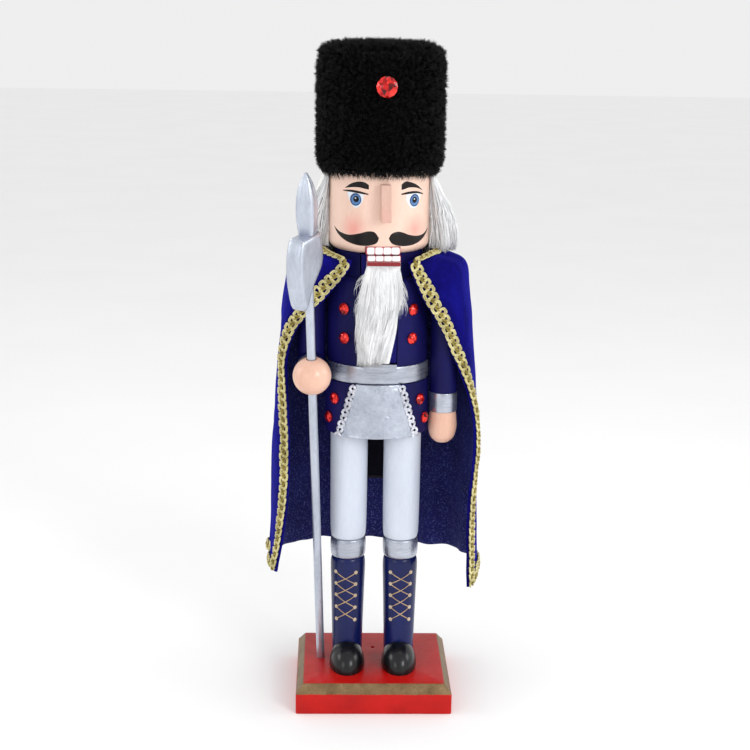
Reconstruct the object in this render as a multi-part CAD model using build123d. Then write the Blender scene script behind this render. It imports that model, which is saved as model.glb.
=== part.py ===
from build123d import *
import math
import os

os.makedirs("parts", exist_ok=True)

# ---------------------------------------------------------------- driving dimensions (mm, +Z up, the figure faces -Y)
BASE_W, BASE_D, BASE_SIDE_H, BASE_H, BASE_BEVEL = 90.0, 80.0, 12.3, 17.3, 4.1

LEG_X, LEG_Y = 15.3, -2.0
BOOT_TOP_Z, CUFF_TOP_Z, TROUSER_TOP_Z = 84.0, 95.5, 161.0
DOWEL_R = 3.0

TORSO_A, TORSO_B = 28.4, 24.0          # half width and half depth of the jacket
SKIRT_A, SKIRT_B = 29.5, 25.2          # the same at the hem of the jacket skirt
SKIRT_TOP_Z, TORSO_TOP_Z = 192.2, 252.0
BELT_TOP_Z, BELT_T = 202.2, 0.9
COLLAR_A, COLLAR_B, HEAD_Z = 24.5, 22.0, 266.0

PIVOT_Y, PIVOT_Z, PIN_R = -2.0, 243.0, 1.5
LEVER_HW, SLOT_HW = 10.0, 10.6         # half widths of the jaw lever and of the slot that it rocks in

HEAD_R, HEAD_TOP_Z, HEAD_TURN = 28.0, 312.0, 3.2
HAT_CORE_R, HAT_R, HAT_Z0, HAT_Z1 = 31.0, 35.0, 309.5, 377.5

ARM_X, ARM_R = 38.0, 7.8
FIST_R = 10.6

SHAFT_R, SHAFT_CLEAR = 2.4, 0.35
SHAFT_FOOT = Vector(-31.0, 0.5, BASE_H)
SHAFT_DIR = Vector(-0.0296, -0.191, 0.981).normalized()
AXE_TOP_S, TIP_S = 268.5, 268.5

JEWEL_R = 3.3  # stones on the jacket
HAT_JEWEL_R = 5.6  # stone on the hat
CAPE_T = 1.4
BRAID_W, BRAID_GAP, BRAID_T = 6.5, 0.7, 1.5


def save(shape, name):
    export_step(shape, f"parts/{name}.step")
    print(name, round(shape.volume, 1), shape.is_valid)


def rod(x, y, z0, z1, r):
    return Pos(x, y, (z0 + z1) / 2) * Cylinder(r, z1 - z0)


def rod_x(x0, x1, y, z, r):
    return Pos((x0 + x1) / 2, y, z) * (Rot(0, 90, 0) * Cylinder(r, x1 - x0))


def rod_y(x, y0, y1, z, r):
    return Pos(x, (y0 + y1) / 2, z) * (Rot(90, 0, 0) * Cylinder(r, y1 - y0))


def box(x0, x1, y0, y1, z0, z1):
    return Pos((x0 + x1) / 2, (y0 + y1) / 2, (z0 + z1) / 2) * Box(x1 - x0, y1 - y0, z1 - z0)


def oval(a, b, z0, z1):
    return extrude(Pos(0, 0, z0) * Ellipse(a, b), z1 - z0)


def oval_taper(a0, b0, z0, a1, b1, z1):
    return loft([Pos(0, 0, z0) * Ellipse(a0, b0), Pos(0, 0, z1) * Ellipse(a1, b1)])


def turned(points, x=0.0, y=0.0):
    """A piece turned on a lathe: radius and height pairs from the bottom to the top, joined by a smooth curve."""
    curve = Spline([(r, 0, z) for r, z in points])
    (r0, z0), (r1, z1) = points[0], points[-1]
    outline = [
        Line((0, 0, z0), (r0, 0, z0)),
        curve,
        Line((r1, 0, z1), (0, 0, z1)),
        Line((0, 0, z1), (0, 0, z0)),
    ]
    return Pos(x, y, 0) * revolve(make_face(Wire(outline)), Axis.Z, 360)


def slab_x(points, x0, x1):
    """A side outline of (y, z) points given thickness along X."""
    face = make_face(Polyline(*[(x0, y, z) for y, z in points], close=True))
    return extrude(face, x1 - x0, dir=(1, 0, 0))


def slab_y(points, y0, y1):
    """A front outline of (x, z) points given thickness along Y."""
    face = make_face(Polyline(*[(x, y0, z) for x, z in points], close=True))
    return extrude(face, y1 - y0, dir=(0, 1, 0))


def one(shape):
    """The single solid in a result, the largest if trimming left a crumb."""
    return max(shape.solids(), key=lambda s: s.volume)


# ---------------------------------------------------------------- base and legs
base = loft(
    [
        Pos(0, 0, BASE_SIDE_H) * Rectangle(BASE_W, BASE_D),
        Pos(0, 0, BASE_H) * Rectangle(BASE_W - 2 * BASE_BEVEL, BASE_D - 2 * BASE_BEVEL),
    ]
) + box(-BASE_W / 2, BASE_W / 2, -BASE_D / 2, BASE_D / 2, 0, BASE_SIDE_H)
for side in (-1, 1):
    base -= rod(side * LEG_X, LEG_Y, 7.0, BASE_H + 1, DOWEL_R)
halberd_frame = Plane(origin=SHAFT_FOOT, x_dir=(-0.5, -0.866, 0), z_dir=SHAFT_DIR)
# the plane's x direction is made square to the shaft
flat = Vector(-0.5, -0.866, 0)
flat = (flat - SHAFT_DIR * flat.dot(SHAFT_DIR)).normalized()
halberd_frame = Plane(origin=SHAFT_FOOT, x_dir=flat, z_dir=SHAFT_DIR)


def on_shaft(shape):
    return halberd_frame.location * shape


def shaft_rod(s0, s1, r):
    return on_shaft(rod(0, 0, s0, s1, r))


base -= shaft_rod(-6.2, 8.0, SHAFT_R + SHAFT_CLEAR)
base -= rod(0.5, 14.0, BASE_H - 3.0, BASE_H + 1, 0.9)  # nail hole between the heels
save(one(base), "base_block")

BOOT = [(8.6, BASE_H), (8.8, 28.0), (9.3, 50.0), (9.9, 70.0), (10.1, 78.0), (9.9, 81.8), (9.0, 83.7), (8.6, BOOT_TOP_Z)]
CUFF = [(9.3, BOOT_TOP_Z), (10.0, 85.2), (10.3, 88.0), (10.3, 92.5), (10.2, 94.6), (9.8, CUFF_TOP_Z)]
TROUSER = [(9.4, CUFF_TOP_Z), (10.0, 97.2), (10.4, 101.5), (10.6, 115.0), (10.7, 140.0), (10.7, TROUSER_TOP_Z)]
for side, word in ((-1, "right"), (1, "left")):
    x = side * LEG_X
    leg_dowel = rod(x, LEG_Y, 7.0, 176.0, DOWEL_R)
    boot = turned(BOOT, x, LEG_Y)
    ball = Pos(x, LEG_Y - 8.0, BASE_H) * scale(Sphere(1.0), (10.5, 16.0, 15.0))
    shoe = (ball & box(x - 12, x + 12, -30.0, LEG_Y - 2.0, BASE_H, BASE_H + 20)) - boot
    save(one(shoe), f"shoe_{word}")
    save(one(boot - leg_dowel), f"boot_{word}")
    save(one(turned(CUFF, x, LEG_Y) - leg_dowel), f"knee_cuff_{word}")
    save(one(turned(TROUSER, x, LEG_Y) - leg_dowel), f"trouser_leg_{word}")
    save(leg_dowel, f"leg_dowel_{word}")

# ---------------------------------------------------------------- jacket, belt and apron
slot = slab_x(
    [(-40, 203.4), (-24.8, 202.9), (-17.0, 198.2), (40, 198.2), (40, 300), (-40, 300)],
    -SLOT_HW,
    SLOT_HW,
)
pin = rod_x(-19.5, 19.5, PIVOT_Y, PIVOT_Z, PIN_R)
torso = extrude(Pos(0, 0, SKIRT_TOP_Z) * Ellipse(TORSO_A, TORSO_B), TORSO_TOP_Z - SKIRT_TOP_Z)
torso = fillet(torso.edges().group_by(Axis.Z)[-1], 3.0)
whole_torso = torso
torso = torso - slot - pin
neck_dowels, shoulder_dowels = {}, {}
for side, word in ((-1, "right"), (1, "left")):
    neck_dowels[word] = rod(side * 16.5, 9.0, 246.5, 276.0, 2.0)
    x0, x1 = (-36.0, -21.5) if side < 0 else (21.5, 36.0)
    shoulder_dowels[word] = rod_x(x0, x1, -3.5, 241.0, DOWEL_R)
    torso = torso - neck_dowels[word] - shoulder_dowels[word]
    save(neck_dowels[word], f"neck_dowel_{word}")
    save(shoulder_dowels[word], f"shoulder_dowel_{word}")
save(one(torso), "torso_block")
save(pin, "pivot_pin")

skirt = oval_taper(SKIRT_A, SKIRT_B, TROUSER_TOP_Z, TORSO_A, TORSO_B, SKIRT_TOP_Z)
whole_skirt = skirt
for side in (-1, 1):
    skirt = skirt - rod(side * LEG_X, LEG_Y, 145.0, 176.0, DOWEL_R)
save(one(skirt), "skirt_block")

belt = oval(TORSO_A + BELT_T, TORSO_B + BELT_T, SKIRT_TOP_Z + 0.2, BELT_TOP_Z) - oval(
    TORSO_A, TORSO_B, SKIRT_TOP_Z - 1, BELT_TOP_Z + 1
)
save(one(belt), "belt_band")
clasp = box(-6.2, 6.2, -26.6, -22.0, 199.2, 203.1) - oval(TORSO_A + BELT_T, TORSO_B + BELT_T, 190, 210)
save(one(clasp), "belt_clasp")

collar = oval(COLLAR_A, COLLAR_B, TORSO_TOP_Z, HEAD_Z)
collar = collar - box(-SLOT_HW, SLOT_HW, -40, 11.0, 250, 270)
for word in ("right", "left"):
    collar = collar - neck_dowels[word]
save(one(collar), "collar")

APRON_TOP, APRON_BOTTOM, APRON_T = 12.2, 20.6, 1.0
apron_shell = oval_taper(
    SKIRT_A + APRON_T, SKIRT_B + APRON_T, TROUSER_TOP_Z, TORSO_A + APRON_T, TORSO_B + APRON_T, SKIRT_TOP_Z
) - whole_skirt
apron = apron_shell & slab_y(
    [(-APRON_BOTTOM, TROUSER_TOP_Z), (APRON_BOTTOM, TROUSER_TOP_Z), (APRON_TOP, SKIRT_TOP_Z), (-APRON_TOP, SKIRT_TOP_Z)],
    -40,
    -4,
)
save(one(apron), "apron_panel")


def oval_y(x, a, b):
    return -b * math.sqrt(1 - (x / a) ** 2)


for side, word in ((-1, "right"), (1, "left")):
    top = Vector(side * (APRON_TOP + 0.6), oval_y(APRON_TOP, TORSO_A + 1.6, TORSO_B + 1.6), SKIRT_TOP_Z - 0.6)
    foot = Vector(side * (APRON_BOTTOM + 0.6), oval_y(APRON_BOTTOM, SKIRT_A + 1.6, SKIRT_B + 1.6), TROUSER_TOP_Z + 0.4)
    run = foot - top
    cord = Plane(origin=top, z_dir=run).location * (Pos(0, 0, run.length / 2) * Cylinder(1.7, run.length))
    cord = cord - apron - whole_skirt - belt
    save(one(cord), f"apron_braid_{word}")


def jewel(x, z, a, b, body, r=JEWEL_R, h=2.2):
    """A faceted stone seated on an oval surface of half width a and half depth b."""
    y = oval_y(x, a, b)
    out = Vector(x / a**2, y / b**2, 0).normalized()
    seat = Plane(origin=Vector(x, y, z) - out * 0.4, x_dir=(0, 0, 1), z_dir=out)
    stone = extrude(RegularPolygon(r, 8), h * 0.55) + Pos(0, 0, h * 0.55) * extrude(RegularPolygon(r, 8), h * 0.65, taper=38)
    return one(seat.location * stone - body)


for side, word in ((-1, "right"), (1, "left")):
    save(jewel(side * 18.7, 234.0, TORSO_A, TORSO_B, whole_torso), f"chest_jewel_upper_{word}")
    save(jewel(side * 18.4, 217.6, TORSO_A, TORSO_B, whole_torso), f"chest_jewel_lower_{word}")
    save(jewel(side * 23.4, 182.0, 28.9, 24.5, whole_skirt), f"skirt_jewel_upper_{word}")
    save(jewel(side * 26.2, 170.2, 29.3, 24.9, whole_skirt), f"skirt_jewel_lower_{word}")

# ---------------------------------------------------------------- jaw: lever, chin board, lower teeth and beard
lever = slab_x(
    [
        (-24.8, 205.0),
        (-12.0, 211.0),
        (6.0, 226.0),
        (19.0, 216.0),
        (26.4, 200.0),
        (26.4, 123.0),
        (28.0, 121.0),
        (31.0, 122.0),
        (31.8, 126.0),
        (31.8, 214.0),
        (26.0, 236.0),
        (14.0, 246.5),
        (3.0, 249.5),
        (-7.0, 265.4),
        (-24.8, 265.4),
    ],
    -LEVER_HW,
    LEVER_HW,
)
lever = one(lever - rod_x(-30, 30, PIVOT_Y, PIVOT_Z, PIN_R + 0.08))
save(lever, "jaw_lever")
board = slab_y(
    [(-6.1, 205.0), (6.0, 205.0), (9.9, 224.0), (10.6, 236.0), (11.3, 262.1), (-7.2, 262.1), (-7.0, 224.0)],
    -27.3,
    -24.8,
)
board = board - slab_x([(-25.8, 204.0), (-25.8, 205.0), (-27.3, 206.8), (-28.5, 206.8), (-28.5, 204.0)], -20, 20)
save(one(board), "chin_board")
teeth = slab_y([(-7.2, 262.1), (11.3, 262.1), (11.3, 265.4), (-7.2, 265.4)], -27.9, -24.8)
save(one(teeth), "lower_teeth")
beard = loft(
    [
        Plane.XY.offset(259.5) * Pos(2.0, -29.2) * RectangleRounded(17.0, 3.4, 1.5),
        Plane.XY.offset(240.0) * Pos(0.5, -29.8) * RectangleRounded(18.0, 4.6, 2.0),
        Plane.XY.offset(213.0) * Pos(-2.5, -29.0) * RectangleRounded(9.0, 2.6, 1.2),
    ]
)
save(one(beard), "beard")

# ---------------------------------------------------------------- head, face and hat
turn = Rot(0, 0, HEAD_TURN)
head = Pos(0, 0, (HEAD_Z + HEAD_TOP_Z) / 2) * Cylinder(HEAD_R, HEAD_TOP_Z - HEAD_Z)
head = fillet(head.edges().group_by(Axis.Z)[0], 5.0)
mouth = turn * box(-9.6, 9.6, -40.0, 2.0, 260.0, 270.4)
head = head - mouth
for word in ("right", "left"):
    head = head - neck_dowels[word]
save(one(head), "head_block")
nose = slab_x([(-20.0, 284.6), (-37.4, 284.6), (-36.2, 290.0), (-33.6, 304.4), (-20.0, 304.4)], -2.7, 2.7)
nose = turn * nose - Pos(0, 0, 290) * Cylinder(HEAD_R, 80)
save(one(nose), "nose")
upper = turn * box(-9.3, 9.3, -28.9, -22.0, 266.1, 270.4)
save(one(upper), "upper_teeth")

core = rod(0, 0, HEAD_TOP_Z, 373.6, HAT_CORE_R)
save(core, "hat_core")
fur = rod(0, 0, HAT_Z0, HAT_Z1, HAT_R)
fur = fillet(fur.edges().group_by(Axis.Z)[-1], 5.0)
fur = fillet(fur.edges().group_by(Axis.Z)[0], 3.5)
whole_fur = fur
fur = fur - core - rod(0, 0, 300.0, HEAD_TOP_Z, HEAD_R + 0.3)
save(one(fur), "hat_fur")
stone = extrude(RegularPolygon(HAT_JEWEL_R, 12), 1.6) + Pos(0, 0, 1.6) * extrude(RegularPolygon(HAT_JEWEL_R, 12), 1.6, taper=40)
stone = turn * (Plane(origin=(0, -HAT_R + 0.2, 356.0), x_dir=(1, 0, 0), z_dir=(0, -1, 0)).location * stone) - whole_fur
save(one(stone), "hat_jewel")

# hair falls from under the hat down both sides and the back of the head
hair_section = make_face(
    Polyline(
        (28.3, 0, 269.4), (31.0, 0, 269.0), (39.0, 0, 266.4), (41.5, 0, 274.0), (41.0, 0, 288.0),
        (38.0, 0, 300.0), (34.0, 0, 309.2), (28.3, 0, 309.2), close=True,
    )
)
hair = revolve(Rot(0, 0, -38.0) * hair_section, Axis.Z, 256)
save(one(hair), "hair")

# ---------------------------------------------------------------- arms
sleeve_y = -4.0
sleeve = turned([(5.2, 254.0), (7.2, 252.6), (7.8, 249.5), (7.8, 230.0), (7.8, 184.0)][::-1], ARM_X, sleeve_y)
sleeve = one(sleeve - shoulder_dowels["left"])
save(sleeve, "sleeve_left")
save(rod(ARM_X, sleeve_y, 172.7, 184.0, 8.1), "arm_cuff_left")
hand = turned([(1.0, 153.4), (4.4, 154.6), (7.0, 157.6), (8.2, 163.0), (7.9, 169.0), (7.5, 172.7)], ARM_X, sleeve_y)
save(one(hand), "hand_left")

fore_x, fore_z = -37.4, 200.0
forearm = rod_y(fore_x, -17.0, 5.8, fore_z, ARM_R)
forearm = fillet(forearm.edges().group_by(Axis.Y)[-1], 3.0)
upper_arm = turned([(7.8, 200.0), (7.8, 230.0), (7.8, 249.5), (7.2, 252.6), (5.2, 254.0)], fore_x, -2.0)
upper_arm = one(upper_arm - rod_y(fore_x, -60.0, 30.0, fore_z, ARM_R) - shoulder_dowels["right"])
save(upper_arm, "upper_arm_right")
save(one(forearm), "forearm_right")
fist_at = SHAFT_FOOT + SHAFT_DIR * 186.1
fist_ball = Pos(*fist_at) * Sphere(FIST_R)
cuff = rod_y(fore_x, -27.2, -17.0, fore_z, 8.1) - fist_ball
save(one(cuff), "arm_cuff_right")
fist = fist_ball - shaft_rod(160.0, 215.0, SHAFT_R + SHAFT_CLEAR)
save(one(fist), "fist_right")

# ---------------------------------------------------------------- halberd
axe_outline = [
    (-6.0, 0.0), (-8.0, -9.0), (-8.1, -15.0), (-5.6, -20.6), (3.4, -29.5), (9.3, -38.6),
    (11.2, -39.6), (12.6, -36.5), (14.4, -29.0), (15.6, -20.0), (15.0, -10.0), (12.9, -3.0), (11.0, 0.0),
]
blade = make_face(Polyline(*[(x, -5.0, AXE_TOP_S + w) for x, w in axe_outline], close=True))
blade = extrude(blade, 10.0, dir=(0, 1, 0))
rim = [e for e in blade.edges() if abs(abs(e.center().Y) - 5.0) < 0.01 and e.center().X > 9.0]
try:
    blade = chamfer(rim, 1.6)
except Exception:
    pass
axe = on_shaft(blade - rod(0, 0, 200, 300, SHAFT_R))
save(one(axe), "halberd_axe")


def diamond(s, r):
    return Pos(0, 0, s) * (Rot(0, 0, 12.0) * RectangleRounded(r * 1.62, r * 1.62, r * 0.3))


leaf = loft([diamond(TIP_S, 5.0), diamond(TIP_S + 8.0, 5.7), diamond(TIP_S + 18.0, 5.6), diamond(TIP_S + 27.0, 3.7), diamond(TIP_S + 33.0, 0.9)])
leaf = on_shaft(leaf - rod(0, 0, 250.0, TIP_S + 6.0, SHAFT_R))
save(one(leaf), "halberd_tip")
save(shaft_rod(-5.4, TIP_S + 6.0, SHAFT_R), "halberd_shaft")

# ---------------------------------------------------------------- cape
# Each row runs from the front edge round the side to the middle of the back, from the neckline down to the hem.
RIGHT_HALF = [  # towards +X
    [(16.0, -26.3, 262.5), (22.5, -21.6, 264.4), (28.0, -12.5, 265.2), (30.6, 0, 265.4), (28.8, 13.0, 265.0), (18.5, 25.6, 264.6), (0, 31.6, 264.2)],
    [(17.3, -26.3, 257.0), (26.5, -22.3, 260.5), (37.0, -12.5, 262.3), (42.0, 0, 262.8), (38.0, 17.0, 261.0), (22.0, 31.5, 258.5), (0, 37.5, 257.0)],
    [(21.0, -24.6, 248.0), (33.0, -19.6, 254.4), (44.0, -13.5, 258.2), (49.0, 0, 258.2), (45.5, 20.0, 255.6), (26.0, 37.0, 251.0), (0, 43.0, 248.0)],
    [(26.0, -22.4, 238.0), (37.5, -18.6, 243.5), (47.0, -13.2, 247.5), (51.2, 1.0, 248.0), (48.5, 23.0, 245.0), (28.0, 41.5, 240.0), (0, 47.5, 237.0)],
    [(32.0, -19.0, 228.0), (42.0, -16.6, 231.0), (49.5, -11.5, 234.0), (53.2, 2.0, 235.0), (51.0, 25.5, 232.0), (30.0, 45.5, 227.0), (0, 51.5, 224.0)],
    [(38.5, -16.2, 215.0), (46.0, -14.8, 216.5), (51.8, -9.0, 218.0), (54.8, 4.0, 219.0), (52.5, 27.5, 217.0), (31.0, 48.5, 213.0), (0, 55.0, 210.0)],
    [(45.5, -15.0, 200.0), (51.0, -11.5, 200.5), (55.0, -4.0, 201.0), (56.5, 7.0, 201.0), (54.0, 30.5, 200.0), (32.0, 51.5, 198.0), (0, 58.0, 196.0)],
    [(53.3, -13.5, 180.0), (56.0, -9.5, 180.0), (57.7, -1.0, 180.0), (58.2, 10.0, 180.0), (55.5, 33.5, 180.0), (33.0, 54.5, 179.0), (0, 61.0, 178.0)],
    [(56.7, -15.0, 155.0), (58.5, -9.5, 155.0), (59.3, 0, 155.0), (59.3, 12.0, 155.0), (56.3, 35.5, 155.0), (34.0, 56.5, 155.0), (0, 63.0, 155.0)],
    [(54.5, -17.0, 128.0), (57.7, -11.0, 128.0), (59.3, 0, 128.0), (59.8, 14.0, 128.0), (56.7, 37.5, 128.0), (34.5, 58.0, 128.0), (0, 64.5, 128.0)],
    [(53.7, -19.0, 100.0), (57.7, -12.0, 100.0), (59.8, 0, 100.5), (60.3, 15.0, 100.5), (57.2, 38.5, 100.0), (35.0, 59.5, 100.0), (0, 65.5, 100.0)],
    [(54.5, -20.0, 70.5), (58.4, -12.5, 71.2), (60.4, 0, 72.5), (60.8, 15.0, 73.0), (57.6, 39.5, 70.5), (35.5, 60.5, 68.5), (0, 66.5, 70.0)],
]
LEFT_HALF = [[(-x, y, z) for x, y, z in row] for row in RIGHT_HALF]  # towards -X, over the arm that holds the halberd
LEFT_HALF[2][:3] = [(-24.0, -24.0, 248.0), (-34.5, -19.6, 254.4), (-44.5, -13.5, 258.0)]
LEFT_HALF[3][:3] = [(-31.5, -20.8, 238.0), (-40.5, -17.4, 243.5), (-47.5, -12.8, 247.5)]
LEFT_HALF[4][:3] = [(-41.0, -17.0, 228.0), (-46.8, -14.6, 231.0), (-51.0, -9.6, 234.0)]
LEFT_HALF[5][:3] = [(-48.8, -13.6, 215.0), (-52.4, -10.6, 216.5), (-54.6, -5.0, 218.0)]
LEFT_HALF[6][:3] = [(-51.6, -12.8, 200.0), (-54.6, -8.8, 200.5), (-56.5, -2.0, 201.0)]
LEFT_HALF[7][:4] = [(-50.8, -12.8, 180.0), (-55.0, -9.0, 180.0), (-57.8, -1.0, 180.0), (-58.7, 10.0, 180.0)]
LEFT_HALF[8][:4] = [(-49.8, -14.4, 155.0), (-55.0, -10.4, 155.0), (-58.7, -1.0, 155.0), (-59.6, 12.0, 155.0)]
LEFT_HALF[9][:3] = [(-50.4, -16.4, 128.0), (-55.6, -12.0, 128.0), (-59.0, -0.8, 128.0)]
LEFT_HALF[11] = [(-57.2, -20.0, 79.5), (-60.2, -12.5, 79.0), (-61.3, 0, 78.0), (-61.3, 15.0, 77.0), (-58.0, 39.5, 73.5), (-35.5, 60.5, 71.0), (0, 66.5, 70.0)]
GRID = [
    [Vector(*p) for p in left] + [Vector(*p) for p in right[-2::-1]]
    for left, right in zip(LEFT_HALF, RIGHT_HALF)
]


def normals(grid):
    """Outward directions at the points of a cape grid."""
    rows, cols = len(grid), len(grid[0])
    out = []
    for i in range(rows):
        line = []
        for j in range(cols):
            down = grid[min(i + 1, rows - 1)][j] - grid[max(i - 1, 0)][j]
            along = grid[i][min(j + 1, cols - 1)] - grid[i][max(j - 1, 0)]
            line.append(along.cross(down).normalized() * -1)
        out.append(line)
    return out


def patch_solid(outer, inner):
    """A closed cloth between two point grids of the same shape."""
    a = Face.make_surface_from_array_of_points(outer, tol=0.02, min_deg=1, max_deg=3)
    b = Face.make_surface_from_array_of_points(inner, tol=0.02, min_deg=1, max_deg=3)

    def corner_edges(face, grid):
        ends = [(grid[0][0], grid[0][-1]), (grid[-1][0], grid[-1][-1]), (grid[0][0], grid[-1][0]), (grid[0][-1], grid[-1][-1])]
        found = []
        for p, q in ends:
            middle = None
            best = 1e9
            for e in face.edges():
                s, t = e @ 0, e @ 1
                d = min((s - p).length + (t - q).length, (s - q).length + (t - p).length)
                if d < best:
                    best, middle = d, e
            found.append(middle)
        return found

    sides = []
    for e, f in zip(corner_edges(a, outer), corner_edges(b, inner)):
        if ((e @ 0) - (f @ 0)).length > ((e @ 0) - (f @ 1)).length:
            f = Edge(f.wrapped.Reversed())
        sides.append(Face.make_surface_from_curves(e, f))
    return Solid(Shell([a, b] + sides))


NORMALS = normals(GRID)
if NORMALS[6][6].Y < 0:
    NORMALS = [[n * -1 for n in line] for line in NORMALS]


def lifted(grid, norms, d):
    return [[p + n * d for p, n in zip(g, m)] for g, m in zip(grid, norms)]


cape = patch_solid(GRID, lifted(GRID, NORMALS, -CAPE_T))
save(cape, "cape")


def strip(points, norms, inward, w0, w1, crown=0.5, start=0.0):
    """A flat braid laid on the cape: a line of edge points, their outward directions and the directions into the cloth."""
    low, high = BRAID_GAP, BRAID_GAP + BRAID_T
    places = ((w0, 0.0), ((w0 + w1) / 2, crown), (w1, crown * 1.4))
    rise = [start, start] + [0.0] * (len(points) - 2)
    rows = list(zip(points, inward, norms, rise))
    return patch_solid(
        [[p + d * w + n * (high + c + e) for w, c in places] for p, d, n, e in rows],
        [[p + d * w + n * (low + c + e) for w, c in places] for p, d, n, e in rows],
    )


for word, edge, inner in (("right", 0, 1), ("left", -1, -2)):
    pts = [row[edge] for row in GRID]
    nrm = [row[edge] for row in NORMALS]
    ins = [(row[inner] - row[edge]).normalized() for row in GRID]
    save(strip(pts, nrm, ins, 0.0, BRAID_W, start=1.1), f"cape_braid_{word}")
pts = GRID[0]
ins = [(b - a).normalized() for a, b in zip(GRID[0], GRID[1])]
save(strip(pts[1:-1], NORMALS[0][1:-1], ins[1:-1], 0.0, 4.0, 0.0), "cape_braid_neck")
pts = GRID[-1]
ins = [(b - a).normalized() for a, b in zip(GRID[-1], GRID[-2])]
save(strip(pts[1:-1], NORMALS[-1][1:-1], ins[1:-1], 0.0, BRAID_W, 0.0), "cape_braid_hem")
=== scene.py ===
import math
import bpy
import numpy as np
from mathutils import Matrix, Vector


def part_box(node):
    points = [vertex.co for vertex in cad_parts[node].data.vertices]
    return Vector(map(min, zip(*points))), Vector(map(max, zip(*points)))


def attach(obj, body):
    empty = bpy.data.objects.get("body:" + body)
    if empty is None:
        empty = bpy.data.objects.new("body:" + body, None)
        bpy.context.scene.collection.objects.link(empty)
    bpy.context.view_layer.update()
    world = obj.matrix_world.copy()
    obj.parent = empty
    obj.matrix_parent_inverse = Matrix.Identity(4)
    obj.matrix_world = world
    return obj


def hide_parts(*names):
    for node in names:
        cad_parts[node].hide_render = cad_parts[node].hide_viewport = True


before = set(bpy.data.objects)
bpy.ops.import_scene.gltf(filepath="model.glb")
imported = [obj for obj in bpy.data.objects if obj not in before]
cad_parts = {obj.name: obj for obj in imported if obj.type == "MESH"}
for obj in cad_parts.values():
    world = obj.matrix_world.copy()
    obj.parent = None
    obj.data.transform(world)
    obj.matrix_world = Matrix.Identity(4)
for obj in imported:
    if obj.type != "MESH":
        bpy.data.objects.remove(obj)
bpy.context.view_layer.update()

MM = 0.001
rng = np.random.default_rng(20)
pi = math.pi


# ================================================================ mesh helpers (all lengths in mm until add())
def add(name, verts, groups, body, nodes=(), slot=None, mats=(), ids=None, smooth=True, sharp=None, bevel=None, segs=3):
    """A mesh object from points in mm and arrays of faces, riding on a body."""
    v = np.asarray(verts, float) * MM
    groups = [np.asarray(g, np.int32) for g in groups if len(g)]
    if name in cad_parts:
        name += "_look"
    me = bpy.data.meshes.new(name)
    me.vertices.add(len(v))
    me.vertices.foreach_set("co", v.astype(np.float32).ravel())
    loops = np.concatenate([g.ravel() for g in groups])
    totals = np.concatenate([np.full(len(g), g.shape[1]) for g in groups])
    starts = np.concatenate([[0], np.cumsum(totals)[:-1]]).astype(np.int32)
    me.loops.add(len(loops))
    me.loops.foreach_set("vertex_index", loops.astype(np.int32))
    me.polygons.add(len(totals))
    me.polygons.foreach_set("loop_start", starts)
    me.update(calc_edges=True)
    me.validate()
    me.polygons.foreach_set("use_smooth", np.full(len(me.polygons), bool(smooth)))
    for m in mats:
        me.materials.append(m.m)
    if ids is not None and len(ids) == len(me.polygons):
        me.polygons.foreach_set("material_index", np.asarray(ids, np.int32))
    if sharp:
        me.set_sharp_from_angle(angle=math.radians(sharp))
    me.update()
    o = bpy.data.objects.new(name, me)
    bpy.context.scene.collection.objects.link(o)
    if bevel:
        m = o.modifiers.new("edges", "BEVEL")
        m.width = bevel * MM
        m.segments = segs
        m.limit_method = "ANGLE"
        m.angle_limit = math.radians(32)
        m.harden_normals = True
    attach(o, body)
    if nodes:
        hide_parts(*nodes)
    return o


def join(parts):
    """Several (verts, groups) as one."""
    vs, gs, n = [], {}, 0
    for v, groups in parts:
        vs.append(np.asarray(v, float))
        for g in groups:
            g = np.asarray(g)
            if len(g):
                gs.setdefault(g.shape[1], []).append(g + n)
        n += len(v)
    return np.concatenate(vs), [np.concatenate(g) for g in gs.values()]


def rings(P, close_u=True, cap0=True, cap1=True):
    """Faces over P (rows, around, 3): a tube or a vessel wall."""
    r, c = P.shape[:2]
    idx = np.arange(r * c).reshape(r, c)
    a, b = idx[:-1], idx[1:]
    if close_u:
        q = np.stack([a, np.roll(a, -1, 1), np.roll(b, -1, 1), b], -1).reshape(-1, 4)
    else:
        q = np.stack([a[:, :-1], a[:, 1:], b[:, 1:], b[:, :-1]], -1).reshape(-1, 4)
    groups = [q]
    caps = []
    if cap0:
        caps.append(idx[0][::-1])
    if cap1:
        caps.append(idx[-1])
    if caps:
        groups.append(np.array(caps))
    return P.reshape(-1, 3), groups


def rounded(points, radii, n=5):
    """A polyline with its corners rounded."""
    pts = [np.array(p, float) for p in points]
    if not hasattr(radii, "__len__"):
        radii = [radii] * len(pts)
    out = [pts[0]]
    for i in range(1, len(pts) - 1):
        p, a, b = pts[i], pts[i - 1] - pts[i], pts[i + 1] - pts[i]
        la, lb = np.linalg.norm(a), np.linalg.norm(b)
        r = min(radii[i], la * 0.45, lb * 0.45)
        if r < 1e-3:
            out.append(p)
            continue
        s, e = p + a / la * r, p + b / lb * r
        for t in np.linspace(0, 1, n):
            out.append((1 - t) ** 2 * s + 2 * t * (1 - t) * p + t * t * e)
    out.append(pts[-1])
    return np.array(out)


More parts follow.
